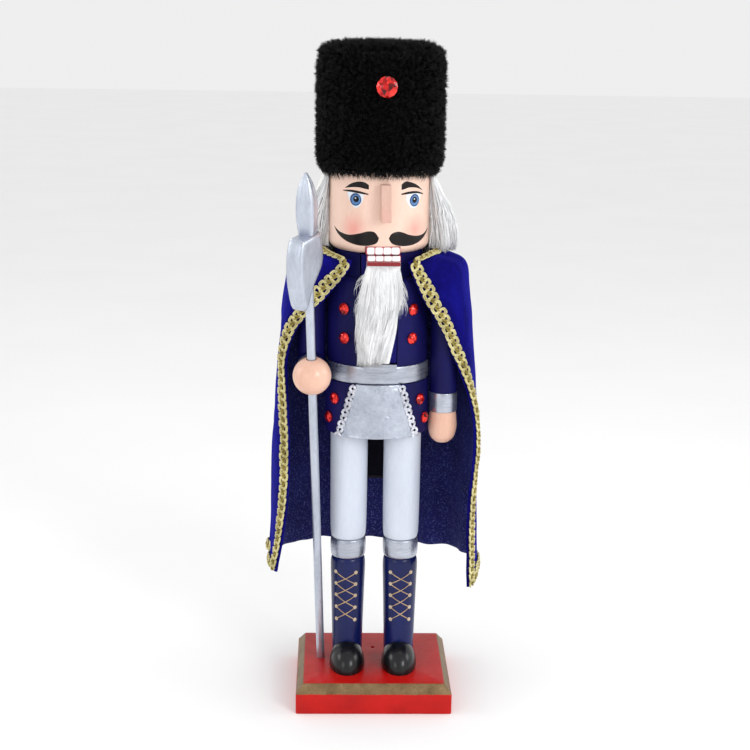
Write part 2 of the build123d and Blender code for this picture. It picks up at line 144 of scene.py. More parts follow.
def smooth_curve(points, per=8, closed=False):
    """Catmull-Rom through the points."""
    P = np.asarray(points, float)
    if closed:
        P = np.concatenate([P[-1:], P, P[:2]])
    else:
        P = np.concatenate([2 * P[:1] - P[1:2], P, 2 * P[-1:] - P[-2:-1]])
    out = []
    t = np.linspace(0, 1, per, endpoint=False)[:, None]
    for i in range(1, len(P) - 2):
        a, b, c, d = P[i - 1 : i + 3]
        out.append(0.5 * (2 * b + (c - a) * t + (2 * a - 5 * b + 4 * c - d) * t**2 + (3 * b - a - 3 * c + d) * t**3))
    out = np.concatenate(out)
    if not closed:
        out = np.concatenate([out, P[-2:-1]])
    return out


def lathe(profile, seg=72, cx=0.0, cy=0.0, ax=1.0, ay=1.0, frame3=None, wobble=0.0, axis_len=1.0):
    """A turned form: profile of (radius, height) about an axis."""
    prof = np.asarray(profile, float)
    th = np.linspace(0, 2 * pi, seg, endpoint=False)
    r = np.maximum(prof[:, 0:1], 0.02)
    w = 1 + wobble * (0.5 * np.sin(2 * th + 0.7) + 0.35 * np.sin(3 * th + 2.0))[None, :]
    x = r * np.cos(th)[None, :] * ax * w
    y = r * np.sin(th)[None, :] * ay * w
    z = np.repeat(prof[:, 1:2], seg, 1)
    if frame3 is None:
        P = np.stack([x + cx, y + cy, z], -1)
    else:
        o, X, Y, Z = frame3
        P = o + x[..., None] * X + y[..., None] * Y + z[..., None] * Z
    return rings(P)


def tube(path, r, ref, sides=6, caps=True, flat=1.0):
    path = np.asarray(path, float)
    T = np.gradient(path, axis=0)
    T /= np.linalg.norm(T, axis=1, keepdims=True) + 1e-9
    ref = np.broadcast_to(np.asarray(ref, float), path.shape)
    A = np.cross(T, ref)
    A /= np.linalg.norm(A, axis=1, keepdims=True) + 1e-9
    B = np.cross(A, T)
    th = np.linspace(0, 2 * pi, sides, endpoint=False)
    r = np.broadcast_to(np.asarray(r, float), (len(path),))
    P = path[:, None] + r[:, None, None] * (np.cos(th)[None, :, None] * A[:, None] + flat * np.sin(th)[None, :, None] * B[:, None])
    return rings(P, True, caps, caps)


def noise1(seed, n, scale):
    """Smooth 1-D noise of n samples."""
    g = np.random.default_rng(seed)
    k = g.standard_normal(int(scale) + 4)
    t = np.linspace(0, scale, n)
    i = t.astype(int)
    f = t - i
    f = f * f * (3 - 2 * f)
    return k[i] * (1 - f) + k[i + 1] * f


def noise2(seed, shape, su, sv):
    """Smooth 2-D noise over a grid."""
    g = np.random.default_rng(seed)
    K = g.standard_normal((int(su) + 3, int(sv) + 3))
    u = np.linspace(0, su, shape[0])
    v = np.linspace(0, sv, shape[1])
    i, j = u.astype(int), v.astype(int)
    f, h = u - i, v - j
    f, h = (f * f * (3 - 2 * f))[:, None], (h * h * (3 - 2 * h))[None, :]
    return K[i][:, j] * (1 - f) * (1 - h) + K[i + 1][:, j] * f * (1 - h) + K[i][:, j + 1] * (1 - f) * h + K[i + 1][:, j + 1] * f * h


def strands(C, R, seed=1):
    """Tapered three-sided hairs: C (n, k, 3) centre lines, R (n, k-1) radii; each ends in a point."""
    n, k = C.shape[:2]
    g = np.random.default_rng(seed)
    T = C[:, min(2, k - 1)] - C[:, 0]
    T /= np.linalg.norm(T, axis=1, keepdims=True) + 1e-9
    A = np.cross(T, g.standard_normal((n, 3)))
    A /= np.linalg.norm(A, axis=1, keepdims=True) + 1e-9
    B = np.cross(T, A)
    th = np.array([0, 2 * pi / 3, 4 * pi / 3])
    D = np.cos(th)[None, :, None] * A[:, None] + np.sin(th)[None, :, None] * B[:, None]
    P = C[:, :-1, None, :] + R[:, :, None, None] * D[:, None]
    V = np.concatenate([P.reshape(n, -1, 3), C[:, -1:, :]], 1)
    per = V.shape[1]
    off = (np.arange(n) * per)[:, None, None]
    quads = []
    for i in range(k - 2):
        for s in range(3):
            t = (s + 1) % 3
            quads.append([i * 3 + s, i * 3 + t, i * 3 + 3 + t, i * 3 + 3 + s])
    tris = [[(k - 2) * 3 + s, (k - 2) * 3 + (s + 1) % 3, per - 1] for s in range(3)] + [[2, 1, 0]]
    q = (np.array(quads)[None] + off).reshape(-1, 4)
    t = (np.array(tris)[None] + off).reshape(-1, 3)
    return V.reshape(-1, 3), [q, t]


# ================================================================ materials
def socket(node, name, value):
    if name in node.inputs:
        node.inputs[name].default_value = value


def rgb(r, g, b):
    """sRGB 0-255 as linear."""
    f = lambda c: (c / 255 / 12.92) if c / 255 <= 0.04045 else ((c / 255 + 0.055) / 1.055) ** 2.4
    return (f(r), f(g), f(b), 1.0)


class Mat:
    """A procedural material on object coordinates, in metres."""

    def __init__(self, name, **fixed):
        self.m = bpy.data.materials.new(name)
        self.m.use_nodes = True
        self.nt = self.m.node_tree
        self.nt.nodes.clear()
        self.out = self.nt.nodes.new("ShaderNodeOutputMaterial")
        self.b = self.nt.nodes.new("ShaderNodeBsdfPrincipled")
        self.nt.links.new(self.b.outputs[0], self.out.inputs[0])
        self.tc = self.nt.nodes.new("ShaderNodeTexCoord")
        for k, v in fixed.items():
            socket(self.b, k.replace("_", " "), v)

    def link(self, a, b):
        self.nt.links.new(a, b)

    def coords(self, stretch=(1, 1, 1), loc=(0, 0, 0), rot=(0, 0, 0)):
        mp = self.nt.nodes.new("ShaderNodeMapping")
        mp.inputs["Scale"].default_value = stretch
        mp.inputs["Location"].default_value = loc
        mp.inputs["Rotation"].default_value = rot
        self.link(self.tc.outputs["Object"], mp.inputs["Vector"])
        return mp.outputs[0]

    def noise(self, scale, detail=4.0, rough=0.55, stretch=(1, 1, 1), distort=0.0, loc=(0, 0, 0)):
        n = self.nt.nodes.new("ShaderNodeTexNoise")
        n.inputs["Scale"].default_value = scale
        n.inputs["Detail"].default_value = detail
        n.inputs["Roughness"].default_value = rough
        n.inputs["Distortion"].default_value = distort
        self.link(self.coords(stretch, loc), n.inputs["Vector"])
        return n.outputs["Fac"]

    def voronoi(self, scale, feature="F1", stretch=(1, 1, 1), out="Distance", rand=1.0):
        n = self.nt.nodes.new("ShaderNodeTexVoronoi")
        n.feature = feature
        n.inputs["Scale"].default_value = scale
        n.inputs["Randomness"].default_value = rand
        self.link(self.coords(stretch), n.inputs["Vector"])
        return n.outputs[out]

    def wave(self, scale, axis="Z", distort=0.0, dscale=1.0, detail=2.0, stretch=(1, 1, 1), bands=True):
        n = self.nt.nodes.new("ShaderNodeTexWave")
        n.wave_type = "BANDS"
        n.bands_direction = axis
        n.inputs["Scale"].default_value = scale
        n.inputs["Distortion"].default_value = distort
        n.inputs["Detail"].default_value = detail
        n.inputs["Detail Scale"].default_value = dscale
        self.link(self.coords(stretch), n.inputs["Vector"])
        return n.outputs["Fac"]

    def ramp(self, fac, stops):
        r = self.nt.nodes.new("ShaderNodeValToRGB")
        el = r.color_ramp.elements
        el[0].position, el[0].color = stops[0]
        el[1].position, el[1].color = stops[-1]
        for p, c in stops[1:-1]:
            e = el.new(p)
            e.color = c
        self.link(fac, r.inputs[0])
        return r.outputs[0]

    def range(self, fac, a, b, c, d, clamp=True):
        m = self.nt.nodes.new("ShaderNodeMapRange")
        m.clamp = clamp
        for i, v in zip((1, 2, 3, 4), (a, b, c, d)):
            m.inputs[i].default_value = v
        self.link(fac, m.inputs[0])
        return m.outputs[0]

    def math(self, op, a, b=None, c=None):
        m = self.nt.nodes.new("ShaderNodeMath")
        m.operation = op
        for i, v in enumerate((a, b, c)):
            if v is None:
                continue
            if isinstance(v, (int, float)):
                m.inputs[i].default_value = v
            else:
                self.link(v, m.inputs[i])
        return m.outputs[0]

    def mix(self, fac, a, b, kind="MIX"):
        m = self.nt.nodes.new("ShaderNodeMix")
        m.data_type = "RGBA"
        m.blend_type = kind
        for i, v in zip((0, 6, 7), (fac, a, b)):
            if isinstance(v, (int, float, tuple)):
                m.inputs[i].default_value = v
            else:
                self.link(v, m.inputs[i])
        return m.outputs[2]

    def xyz(self):
        s = self.nt.nodes.new("ShaderNodeSeparateXYZ")
        self.link(self.tc.outputs["Object"], s.inputs[0])
        return s.outputs

    def facing(self, blend=0.4):
        n = self.nt.nodes.new("ShaderNodeLayerWeight")
        n.inputs[0].default_value = blend
        return n.outputs["Facing"]

    def near(self, point):
        """Distance in metres from a point given in mm."""
        v = self.nt.nodes.new("ShaderNodeVectorMath")
        v.operation = "DISTANCE"
        v.inputs[1].default_value = tuple(c * MM for c in point)
        self.link(self.tc.outputs["Object"], v.inputs[0])
        return v.outputs["Value"]

    def color(self, c):
        self.link(c, self.b.inputs["Base Color"])

    def roughness(self, c):
        self.link(c, self.b.inputs["Roughness"])

    def bump(self, height, strength=0.3, dist=0.0003, normal=None):
        n = self.nt.nodes.new("ShaderNodeBump")
        n.inputs["Strength"].default_value = strength
        n.inputs["Distance"].default_value = dist
        self.link(height, n.inputs["Height"])
        if normal is not None:
            self.link(normal, n.inputs["Normal"])
        self.link(n.outputs[0], self.b.inputs["Normal"])
        return n.outputs[0]


def paint(name, dark, light, rough=(0.3, 0.45), coat=0.0, coat_rough=0.15, grain=0.25, chips=None, scale=60.0, stretch=(1, 1, 0.25), **fixed):
    """Brushed-on paint over turned wood: soft tone changes, faint grain and brush marks."""
    m = Mat(name, Coat_Weight=coat, Coat_Roughness=coat_rough, **fixed)
    big = m.noise(scale, 5, 0.6, stretch)
    fine = m.noise(900, 3, 0.6, stretch)
    base = m.ramp(m.math("MULTIPLY_ADD", fine, 0.25, m.math("MULTIPLY", big, 0.85)), [(0.3, dark), (0.75, light)])
    if chips:
        spots = m.range(m.noise(420, 2, 0.5), 0.70, 0.76, 0.0, 0.7)
        base = m.mix(spots, base, chips)
    m.color(base)
    m.roughness(m.range(m.noise(240, 4, 0.6), 0.3, 0.7, rough[0], rough[1]))
    h = m.math("MULTIPLY_ADD", m.noise(500, 4, 0.6, (stretch[0], stretch[1], stretch[2] * 0.5)), 0.6, m.noise(1500, 2, 0.5))
    m.bump(h, grain, 0.0002)
    return m


M = {}
M["red_paint"] = paint("red_paint", rgb(172, 18, 14), rgb(214, 30, 20), (0.28, 0.42), coat=0.25, grain=0.12)
M["shoe"] = paint("shoe_gloss_black", rgb(3, 4, 6), rgb(14, 16, 20), (0.26, 0.38), coat=0.28, coat_rough=0.12, grain=0.14, Specular_IOR_Level=0.25)
M["boot"] = paint("boot_gloss_navy", rgb(6, 14, 58), rgb(14, 28, 92), (0.26, 0.38), coat=0.3, coat_rough=0.12, grain=0.22, Specular_IOR_Level=0.16)
M["trouser"] = paint("trouser_white", rgb(190, 197, 212), rgb(216, 222, 233), (0.34, 0.48), coat=0.2, grain=0.14, scale=45)
M["jacket"] = paint("jacket_navy", rgb(8, 7, 54), rgb(18, 16, 90), (0.5, 0.66), coat=0.04, coat_rough=0.3, grain=0.35, Specular_IOR_Level=0.14)
def lever_paint():
    m = paint("lever_two_tone", rgb(5, 5, 16), rgb(12, 11, 32), (0.5, 0.62), grain=0.3, Specular_IOR_Level=0.1)
    z = m.xyz()[2]
    navy = m.ramp(m.noise(60, 5, 0.6, (1, 1, 0.25)), [(0.3, rgb(12, 10, 74)), (0.75, rgb(24, 20, 112))])
    old = m.b.inputs["Base Color"].links[0].from_socket
    m.color(m.mix(m.range(m.math("ADD", z, m.math("MULTIPLY", m.noise(200, 3, 0.5), 0.002)), 0.196, 0.1975, 0.0, 1.0), old, navy))
    return m


M["lever"] = lever_paint()
M["board"] = paint("board_white", rgb(226, 227, 226), rgb(245, 246, 246), (0.34, 0.5), coat=0.1, grain=0.16)
M["lace"] = paint("lace_gold_paint", rgb(150, 118, 84), rgb(206, 178, 140), (0.4, 0.55), grain=0.2)
M["eyelet"] = paint("eyelet_gold_paint", rgb(160, 138, 112), rgb(220, 204, 178), (0.35, 0.5), grain=0.25)
M["black_paint"] = paint("black_line_paint", rgb(12, 9, 10), rgb(28, 20, 20), (0.32, 0.42), coat=0.08, grain=0.1, Specular_IOR_Level=0.2)
M["eye_white"] = paint("eye_white_paint", rgb(208, 216, 226), rgb(230, 236, 242), (0.22, 0.3), coat=0.3, grain=0.05)
M["iris_ring"] = paint("iris_blue_dark", rgb(22, 50, 98), rgb(42, 80, 134), (0.22, 0.3), coat=0.4, grain=0.05)
M["iris"] = paint("iris_blue", rgb(56, 104, 160), rgb(92, 142, 194), (0.22, 0.3), coat=0.4, grain=0.05)
M["tooth"] = paint("tooth_white", rgb(226, 222, 220), rgb(250, 248, 247), (0.2, 0.3), coat=0.4, grain=0.05)
M["gum"] = paint("mouth_red", rgb(150, 30, 44), rgb(196, 74, 88), (0.3, 0.4), coat=0.2, grain=0.1)
M["lip"] = paint("lip_dark_red", rgb(116, 2, 14), rgb(152, 8, 26), (0.3, 0.4), coat=0.2, grain=0.1)


def silver(name, dark, light, stretch, grain=0.3, foil=0.0, rough=(0.3, 0.45), metal=0.75):
    m = Mat(name, Metallic=metal, Coat_Weight=0.12, Coat_Roughness=0.25)
    big = m.noise(70, 5, 0.65, stretch)
    brush = m.noise(700, 4, 0.7, stretch)
    f = m.math("MULTIPLY_ADD", brush, 0.4, m.math("MULTIPLY", big, 0.7))
    c = m.ramp(f, [(0.3, dark), (0.72, light)])
    if foil:
        cell = m.voronoi(260, "SMOOTH_F1", (1, 1, 1))
        c = m.mix(m.range(cell, 0.2, 0.75, 0.0, 0.25), c, dark)
    m.color(c)
    m.roughness(m.range(m.noise(420, 4, 0.6, stretch), 0.3, 0.7, rough[0], rough[1]))
    h = m.math("MULTIPLY_ADD", brush, 0.7, m.noise(1600, 2, 0.6))
    if foil:
        h = m.math("MULTIPLY_ADD", m.voronoi(300, "SMOOTH_F1"), foil, m.math("MULTIPLY_ADD", m.noise(240, 5, 0.7, (1, 1, 1), 1.5), foil, h))
    m.bump(h, grain, 0.0004)
    return m


M["silver"] = silver("silver_satin", rgb(140, 144, 156), rgb(202, 207, 218), (1, 1, 0.3), 0.22, metal=0.85, rough=(0.26, 0.38))
M["silver_band"] = silver("silver_band", rgb(132, 137, 150), rgb(196, 201, 213), (0.25, 0.25, 1.4), 0.2, metal=0.88, rough=(0.24, 0.36))
M["silver_foil"] = silver("silver_foil", rgb(152, 158, 172), rgb(198, 204, 217), (1, 1, 1), 0.22, foil=0.7, rough=(0.24, 0.38), metal=0.85)
M["silver_axe"] = silver("silver_axe", rgb(158, 165, 180), rgb(204, 210, 222), (1, 1, 0.35), 0.28, rough=(0.28, 0.42), metal=0.8)
M["silver_thread"] = silver("silver_thread", rgb(168, 170, 180), rgb(236, 238, 246), (1, 1, 1), 0.6, rough=(0.25, 0.4), metal=0.7)


def base_material():
    m = Mat("base_red_and_antique_gold", Coat_Weight=0.08, Coat_Roughness=0.2, Specular_IOR_Level=0.2)
    x, y, z = m.xyz()[0:3]
    n = m.noise(320, 4, 0.6)
    red = m.ramp(m.math("MULTIPLY_ADD", m.noise(900, 3, 0.6), 0.3, m.math("MULTIPLY", m.noise(45, 5, 0.6), 0.8)), [(0.3, rgb(160, 12, 9)), (0.75, rgb(200, 20, 14))])
    gold = m.ramp(m.math("MULTIPLY_ADD", m.noise(1100, 4, 0.7), 0.5, m.math("MULTIPLY", m.noise(120, 5, 0.6), 0.6)), [(0.35, rgb(92, 70, 44)), (0.6, rgb(128, 104, 72)), (0.8, rgb(158, 134, 98))])
    ax, ay = m.math("ABSOLUTE", x), m.math("ABSOLUTE", y)
    # distance outside the top plate's edge, in metres
    ox = m.math("SUBTRACT", ax, 40.7 * MM)
    oy = m.math("SUBTRACT", ay, 35.7 * MM)
    out = m.math("MAXIMUM", ox, oy)
    out = m.math("ADD", out, m.math("MULTIPLY_ADD", n, 0.0008, -0.0004))
    on_bevel = m.range(out, -0.0001, 0.0001, 0.0, 1.0)
    up = m.range(m.math("ADD", z, m.math("MULTIPLY_ADD", n, 0.0008, -0.0004)), 12.0 * MM, 12.25 * MM, 0.0, 1.0)
    mask = m.math("MULTIPLY", on_bevel, up)
    m.color(m.mix(mask, red, gold))
    m.link(m.math("MULTIPLY", mask, 0.35), m.b.inputs["Metallic"])
    m.roughness(m.math("MULTIPLY_ADD", mask, 0.12, m.range(m.noise(240, 4, 0.6), 0.3, 0.7, 0.28, 0.42)))
    m.bump(m.math("MULTIPLY_ADD", m.noise(160, 4, 0.6, (0.3, 1, 1)), 0.6, m.noise(1300, 3, 0.6)), 0.16, 0.0003)
    return m


def skin_material(name, dark, light, blush=()):
    m = Mat(name, Coat_Weight=0.3, Coat_Roughness=0.22)
    c = m.ramp(m.math("MULTIPLY_ADD", m.noise(800, 3, 0.6, (1, 1, 0.3)), 0.25, m.math("MULTIPLY", m.noise(50, 5, 0.6, (1, 1, 0.3)), 0.85)), [(0.3, dark), (0.75, light)])
    for p, r, strength in blush:
        d = m.math("ADD", m.near(p), m.math("MULTIPLY_ADD", m.noise(180, 3, 0.5), 0.003, -0.0015))
        f = m.range(d, r * MM, 1.5 * MM, 0.0, strength)
        c = m.mix(m.math("POWER", f, 1.4), c, rgb(232, 112, 104))
    m.color(c)
    m.roughness(m.range(m.noise(300, 4, 0.6), 0.3, 0.7, 0.3, 0.42))
    m.bump(m.math("MULTIPLY_ADD", m.noise(420, 4, 0.6, (1, 1, 0.2)), 0.7, m.noise(1500, 2, 0.5)), 0.12, 0.0002)
    return m


M["base"] = base_material()
M["face"] = skin_material("face_flesh_paint", rgb(226, 188, 168), rgb(241, 209, 192), [((-15.0, -23.6, 279.6), 10.5, 0.62), ((19.0, -20.6, 279.2), 10.5, 0.62)])
M["hand"] = skin_material("hand_flesh_paint", rgb(212, 162, 138), rgb(231, 188, 166))
M["nose"] = skin_material("nose_flesh_paint", rgb(186, 146, 130), rgb(214, 176, 160), [((2.2, -37.0, 288.0), 11.0, 0.22)])


def wood_material(name, dark, light, axis=(1, 1, 0.08)):
    m = Mat(name)
    g = m.noise(260, 6, 0.65, axis, 0.6)
    m.color(m.ramp(m.math("MULTIPLY_ADD", m.noise(1500, 3, 0.6, axis), 0.35, m.math("MULTIPLY", g, 0.75)), [(0.32, dark), (0.7, light)]))
    m.roughness(m.range(g, 0.3, 0.7, 0.55, 0.75))
    m.bump(m.noise(1400, 4, 0.6, axis), 0.4, 0.0003)
    return m


M["wood"] = wood_material("bare_beech", rgb(176, 138, 92), rgb(222, 190, 146))
M["card"] = wood_material("black_card", rgb(7, 7, 8), rgb(13, 13, 14), (1, 1, 1))


def steel_material():
    m = Mat("pin_steel", Metallic=1.0)
    f = m.noise(900, 5, 0.6, (0.1, 1, 1))
    m.color(m.ramp(f, [(0.3, rgb(130, 132, 136)), (0.7, rgb(186, 188, 192))]))
    m.roughness(m.range(f, 0.3, 0.7, 0.25, 0.42))
    m.bump(f, 0.2, 0.0001)
    return m


M["steel"] = steel_material()


def velvet_material():
    """Royal-blue velvet with painted sheen in its colour: deep when seen square on, painted bright where the pile is
    seen from the side, with bright blotches of painted sheen in the nap pattern.
    """
    m = Mat("cape_velvet", Sheen_Weight=0.4, Sheen_Roughness=0.3, Specular_IOR_Level=0.04)
    socket(m.b, "Sheen Tint", rgb(50, 50, 190))
    # random nap tone; its bright blotches are partly painted sheen
    nap_crush_and_sheen = m.noise(30, 6, 0.66, (1, 1, 0.55), 1.2)
    pile = m.noise(1500, 3, 0.7)
    deep = m.ramp(m.math("MULTIPLY_ADD", pile, 0.35, m.math("MULTIPLY", nap_crush_and_sheen, 0.75)), [(0.32, rgb(5, 3, 56)), (0.52, rgb(11, 8, 88)), (0.72, rgb(22, 20, 134))])
    # painted sheen: the base colour turns bright blue towards grazing view
    edge = m.range(m.facing(0.35), 0.3, 1.0, 0.0, 0.7)
    m.color(m.mix(edge, deep, rgb(30, 28, 156)))
    m.roughness(m.range(nap_crush_and_sheen, 0.3, 0.7, 0.75, 0.92))
    m.bump(m.math("MULTIPLY_ADD", m.noise(420, 4, 0.65), 0.8, m.math("MULTIPLY_ADD", m.noise(46, 4, 0.6, (1, 1, 0.6), 0.8), 2.2, pile)), 0.6, 0.0007)
    return m


def lining_material():
    """The cape's woven back: navy with small pale flecks."""
    m = Mat("cape_lining", Sheen_Weight=0.25, Sheen_Roughness=0.5, Specular_IOR_Level=0.2)
    socket(m.b, "Sheen Tint", rgb(90, 100, 200))
    weave = m.noise(980, 2, 0.5, (1, 1, 1))
    big = m.noise(40, 4, 0.6)
    base = m.ramp(big, [(0.3, rgb(20, 22, 84)), (0.7, rgb(34, 37, 112))])
    fleck = m.range(weave, 0.53, 0.68, 0.0, 0.6)
    m.color(m.mix(fleck, base, rgb(96, 108, 172)))
    m.roughness(m.range(m.noise(500, 3, 0.5), 0.3, 0.7, 0.7, 0.88))
    m.bump(m.math("MULTIPLY_ADD", m.voronoi(1250), 0.9, m.noise(2000, 2, 0.5)), 0.5, 0.0004)
    return m


M["velvet"] = velvet_material()
M["lining"] = lining_material()


def thread_material(name, dark, light, metal=0.25):
    m = Mat(name, Metallic=metal, Sheen_Weight=0.2, Sheen_Roughness=0.4)
    twist = m.noise(2400, 3, 0.6)
    big = m.noise(160, 3, 0.6)
    m.color(m.ramp(m.math("MULTIPLY_ADD", twist, 0.6, m.math("MULTIPLY", big, 0.5)), [(0.35, dark), (0.72, light)]))
    m.roughness(m.range(twist, 0.3, 0.7, 0.38, 0.6))
    m.bump(twist, 0.6, 0.0002)
    return m


M["gold"] = thread_material("gold_thread", rgb(84, 70, 20), rgb(178, 160, 78), 0.5)
M["cream"] = thread_material("cream_thread", rgb(146, 132, 66), rgb(238, 230, 174), 0.4)


def fur_material(name, dark, light, rough, sheen, stretch=(1, 1, 0.3), scale=700, spec=0.3):
    m = Mat(name, Sheen_Weight=sheen, Sheen_Roughness=0.35, Specular_IOR_Level=spec)
    f = m.math("MULTIPLY_ADD", m.noise(scale, 3, 0.6, stretch), 0.55, m.math("MULTIPLY", m.noise(70, 4, 0.6), 0.5))
    m.color(m.ramp(f, [(0.34, dark), (0.7, light)]))
    m.roughness(m.range(f, 0.3, 0.7, rough[0], rough[1]))
    m.bump(m.noise(1600, 2, 0.5, stretch), 0.3, 0.0002)
    return m


M["black_fur"] = fur_material("plush_black", rgb(3, 3, 4), rgb(13, 13, 16), (0.5, 0.68), 0.0, spec=0.22)
M["black_skin"] = fur_material("plush_black_backing", rgb(2, 2, 3), rgb(7, 7, 9), (0.8, 0.95), 0.0, (1, 1, 1), 1200, 0.1)
M["white_fur"] = fur_material("plush_white", rgb(236, 238, 240), rgb(254, 254, 255), (0.5, 0.65), 0.85)
M["white_skin"] = fur_material("plush_white_backing", rgb(236, 235, 230), rgb(253, 253, 250), (0.7, 0.85), 0.4, (1, 1, 0.15), 900, 0.2)


def gem_material():
    m = Mat("red_jewel", Metallic=0.55, Coat_Weight=0.35, Coat_Roughness=0.04, IOR=1.5)
    # painted reflection and shade: random bright and dark cells stand in for lit and shaded facets
    v = m.voronoi(480, out="Color")
    s = m.nt.nodes.new("ShaderNodeSeparateColor")
    m.link(v, s.inputs[0])
    m.color(m.ramp(m.math("MULTIPLY_ADD", m.noise(900, 2, 0.5), 0.4, m.math("MULTIPLY", s.outputs[0], 0.75)), [(0.22, rgb(70, 0, 4)), (0.5, rgb(190, 4, 8)), (0.8, rgb(250, 48, 36))]))
    m.roughness(m.range(m.noise(700, 2, 0.5), 0.3, 0.7, 0.04, 0.12))
    m.bump(m.noise(500, 2, 0.5), 0.05, 0.0002)
    return m


M["gem"] = gem_material()


def floor_material():
    m = Mat("pale_floor", Specular_IOR_Level=0.2)
    n = m.noise(6, 3, 0.5)
    m.color(m.ramp(n, [(0.2, (0.93, 0.93, 0.93, 1)), (0.8, (0.96, 0.96, 0.96, 1))]))
    m.roughness(m.range(n, 0.2, 0.8, 0.8, 0.9))
    m.bump(m.noise(60, 2, 0.5), 0.02, 0.0003)
    return m


# ================================================================ base
BASE_W, BASE_D = 90.0, 80.0


def rounded_rect(hx, hy, r, n=6):
    out = []
    for cx, cy, a0 in ((hx - r, hy - r, 0), (-hx + r, hy - r, 90), (-hx + r, -hy + r, 180), (hx - r, -hy + r, 270)):
        for a in np.linspace(a0, a0 + 90, n):
            out.append((cx + r * math.cos(math.radians(a)), cy + r * math.sin(math.radians(a))))
    return np.array(out)


def base_mesh():
    levels = [(0.55, 0.0, 0.8), (0.15, 0.15, 0.9), (0.0, 0.6, 1.0), (0.0, 11.6, 1.0), (0.12, 12.05, 1.0), (0.45, 12.45, 1.0), (1.2, 13.3, 0.9), (3.5, 16.4, 0.7), (3.9, 16.95, 0.7), (4.3, 17.22, 0.7), (5.0, 17.3, 0.6)]
    P = []
    for inset, z, r in levels:
        q = rounded_rect(BASE_W / 2 - inset, BASE_D / 2 - inset, r, 5)
        P.append(np.column_stack([q, np.full(len(q), z)]))
    P = np.array(P)
    # fill between corners so that the material's detail has vertices to follow
    dense = []
    n = P.shape[1]
    for row in P:
        line = []
        for i in range(n):
            a, b = row[i], row[(i + 1) % n]
            k = 12 if np.linalg.norm(a - b) > 20 else 1
            for t in np.linspace(0, 1, k, endpoint=False):
                line.append(a * (1 - t) + b * t)
        dense.append(line)
    P = np.array(dense)
    v, g = rings(P, True, True, False)
    # top plate with a nail hole
    top = len(v) - P.shape[1]
    ring = np.arange(top, len(v))
    hole_c = np.array([0.5, 14.0, 17.3])
    outer = v[ring]
    ang = np.arctan2(outer[:, 1] - hole_c[1], outer[:, 0] - hole_c[0])
    prev = ring
    extra, quads = [], []
    count = len(v)
    for rad, dz in ((22.0, 0.0), (9.0, 0.0), (2.6, 0.0), (1.25, 0.02), (0.85, -0.25), (0.75, -2.2)):
        idx = np.arange(count, count + len(ring))
        if rad > 5:
            pts = np.column_stack([hole_c[0] + np.cos(ang) * np.minimum(rad, 20), hole_c[1] + np.sin(ang) * np.minimum(rad, 20), np.full(len(ring), 17.3 + dz)])
        else:
            pts = np.column_stack([hole_c[0] + np.cos(ang) * rad, hole_c[1] + np.sin(ang) * rad, np.full(len(ring), 17.3 + dz)])
        extra.append(pts)
        quads.append(np.stack([prev, np.roll(prev, -1), np.roll(idx, -1), idx], -1))
        prev = idx
        count += len(ring)
    v = np.concatenate([v] + extra)
    g = [np.concatenate([g[0]] + quads), np.array([g[1][0], prev])]
    return v, g


v, g = base_mesh()
add("base", v, g, "figure", ["base_block"], "base_paint", [M["base"]], sharp=40)

# ================================================================ legs
LEG_X, LEG_Y = 15.3, -2.0
BOOT = smooth_curve([(8.6, 17.3), (8.75, 24.0), (9.05, 38.0), (9.4, 52.0), (9.85, 68.0), (10.12, 76.0), (10.05, 80.5), (9.5, 83.0), (8.7, 84.0)], 6)
BOOT = np.concatenate([[(0.0, 17.3)], BOOT, [(0.0, 84.0)]])
CUFF = smooth_curve([(8.6, 84.0), (9.4, 84.1), (10.0, 85.2), (10.3, 88.0), (10.36, 90.5), (10.3, 92.8), (10.05, 94.9), (9.5, 95.5), (8.8, 95.5)], 5)
CUFF = np.concatenate([[(0.0, 84.0)], CUFF, [(0.0, 95.5)]])
TROUSER = smooth_curve([(9.0, 95.5), (9.7, 96.2), (10.12, 98.0), (10.4, 101.5), (10.55, 110.0), (10.66, 124.0), (10.7, 140.0), (10.7, 160.7), (10.4, 161.0)], 5)
TROUSER = np.concatenate([[(0.0, 95.5)], TROUSER, [(0.0, 161.0)]])


def radius_at(profile, z):
    return float(np.interp(z, profile[1:-1, 1], profile[1:-1, 0]))


def shoe(cx):
    """A rounded toe, cut off under the ankle, a little fuller than round above the sole."""
    rows = []
    ys = -10.0 - 16.0 * np.cos(np.linspace(0.03, pi / 2 + 0.384, 40))
    ys = ys[ys <= -3.99]
    for yv in ys:
        k = math.sqrt(max(1 - ((yv + 10) / 16.0) ** 2, 1e-5))
        a = np.linspace(0, pi, 33)
        w, h = 10.5 * k, 15.0 * k ** 0.96
        x = cx + w * np.sign(np.cos(a)) * np.abs(np.cos(a)) ** 0.92
        z = 17.3 + h * np.abs(np.sin(a)) ** 0.92
        z[0] = z[-1] = 17.3
        low = np.minimum(z - 17.3, 1.2) / 1.2
        x = cx + (x - cx) * (0.955 + 0.045 * np.sqrt(low))
        floor = np.column_stack([np.linspace(x[-1], x[0], 6)[1:-1], np.full(4, yv), np.full(4, 17.3)])
        rows.append(np.concatenate([np.column_stack([x, np.full(33, yv), z]), floor]))
    return rings(np.array(rows))


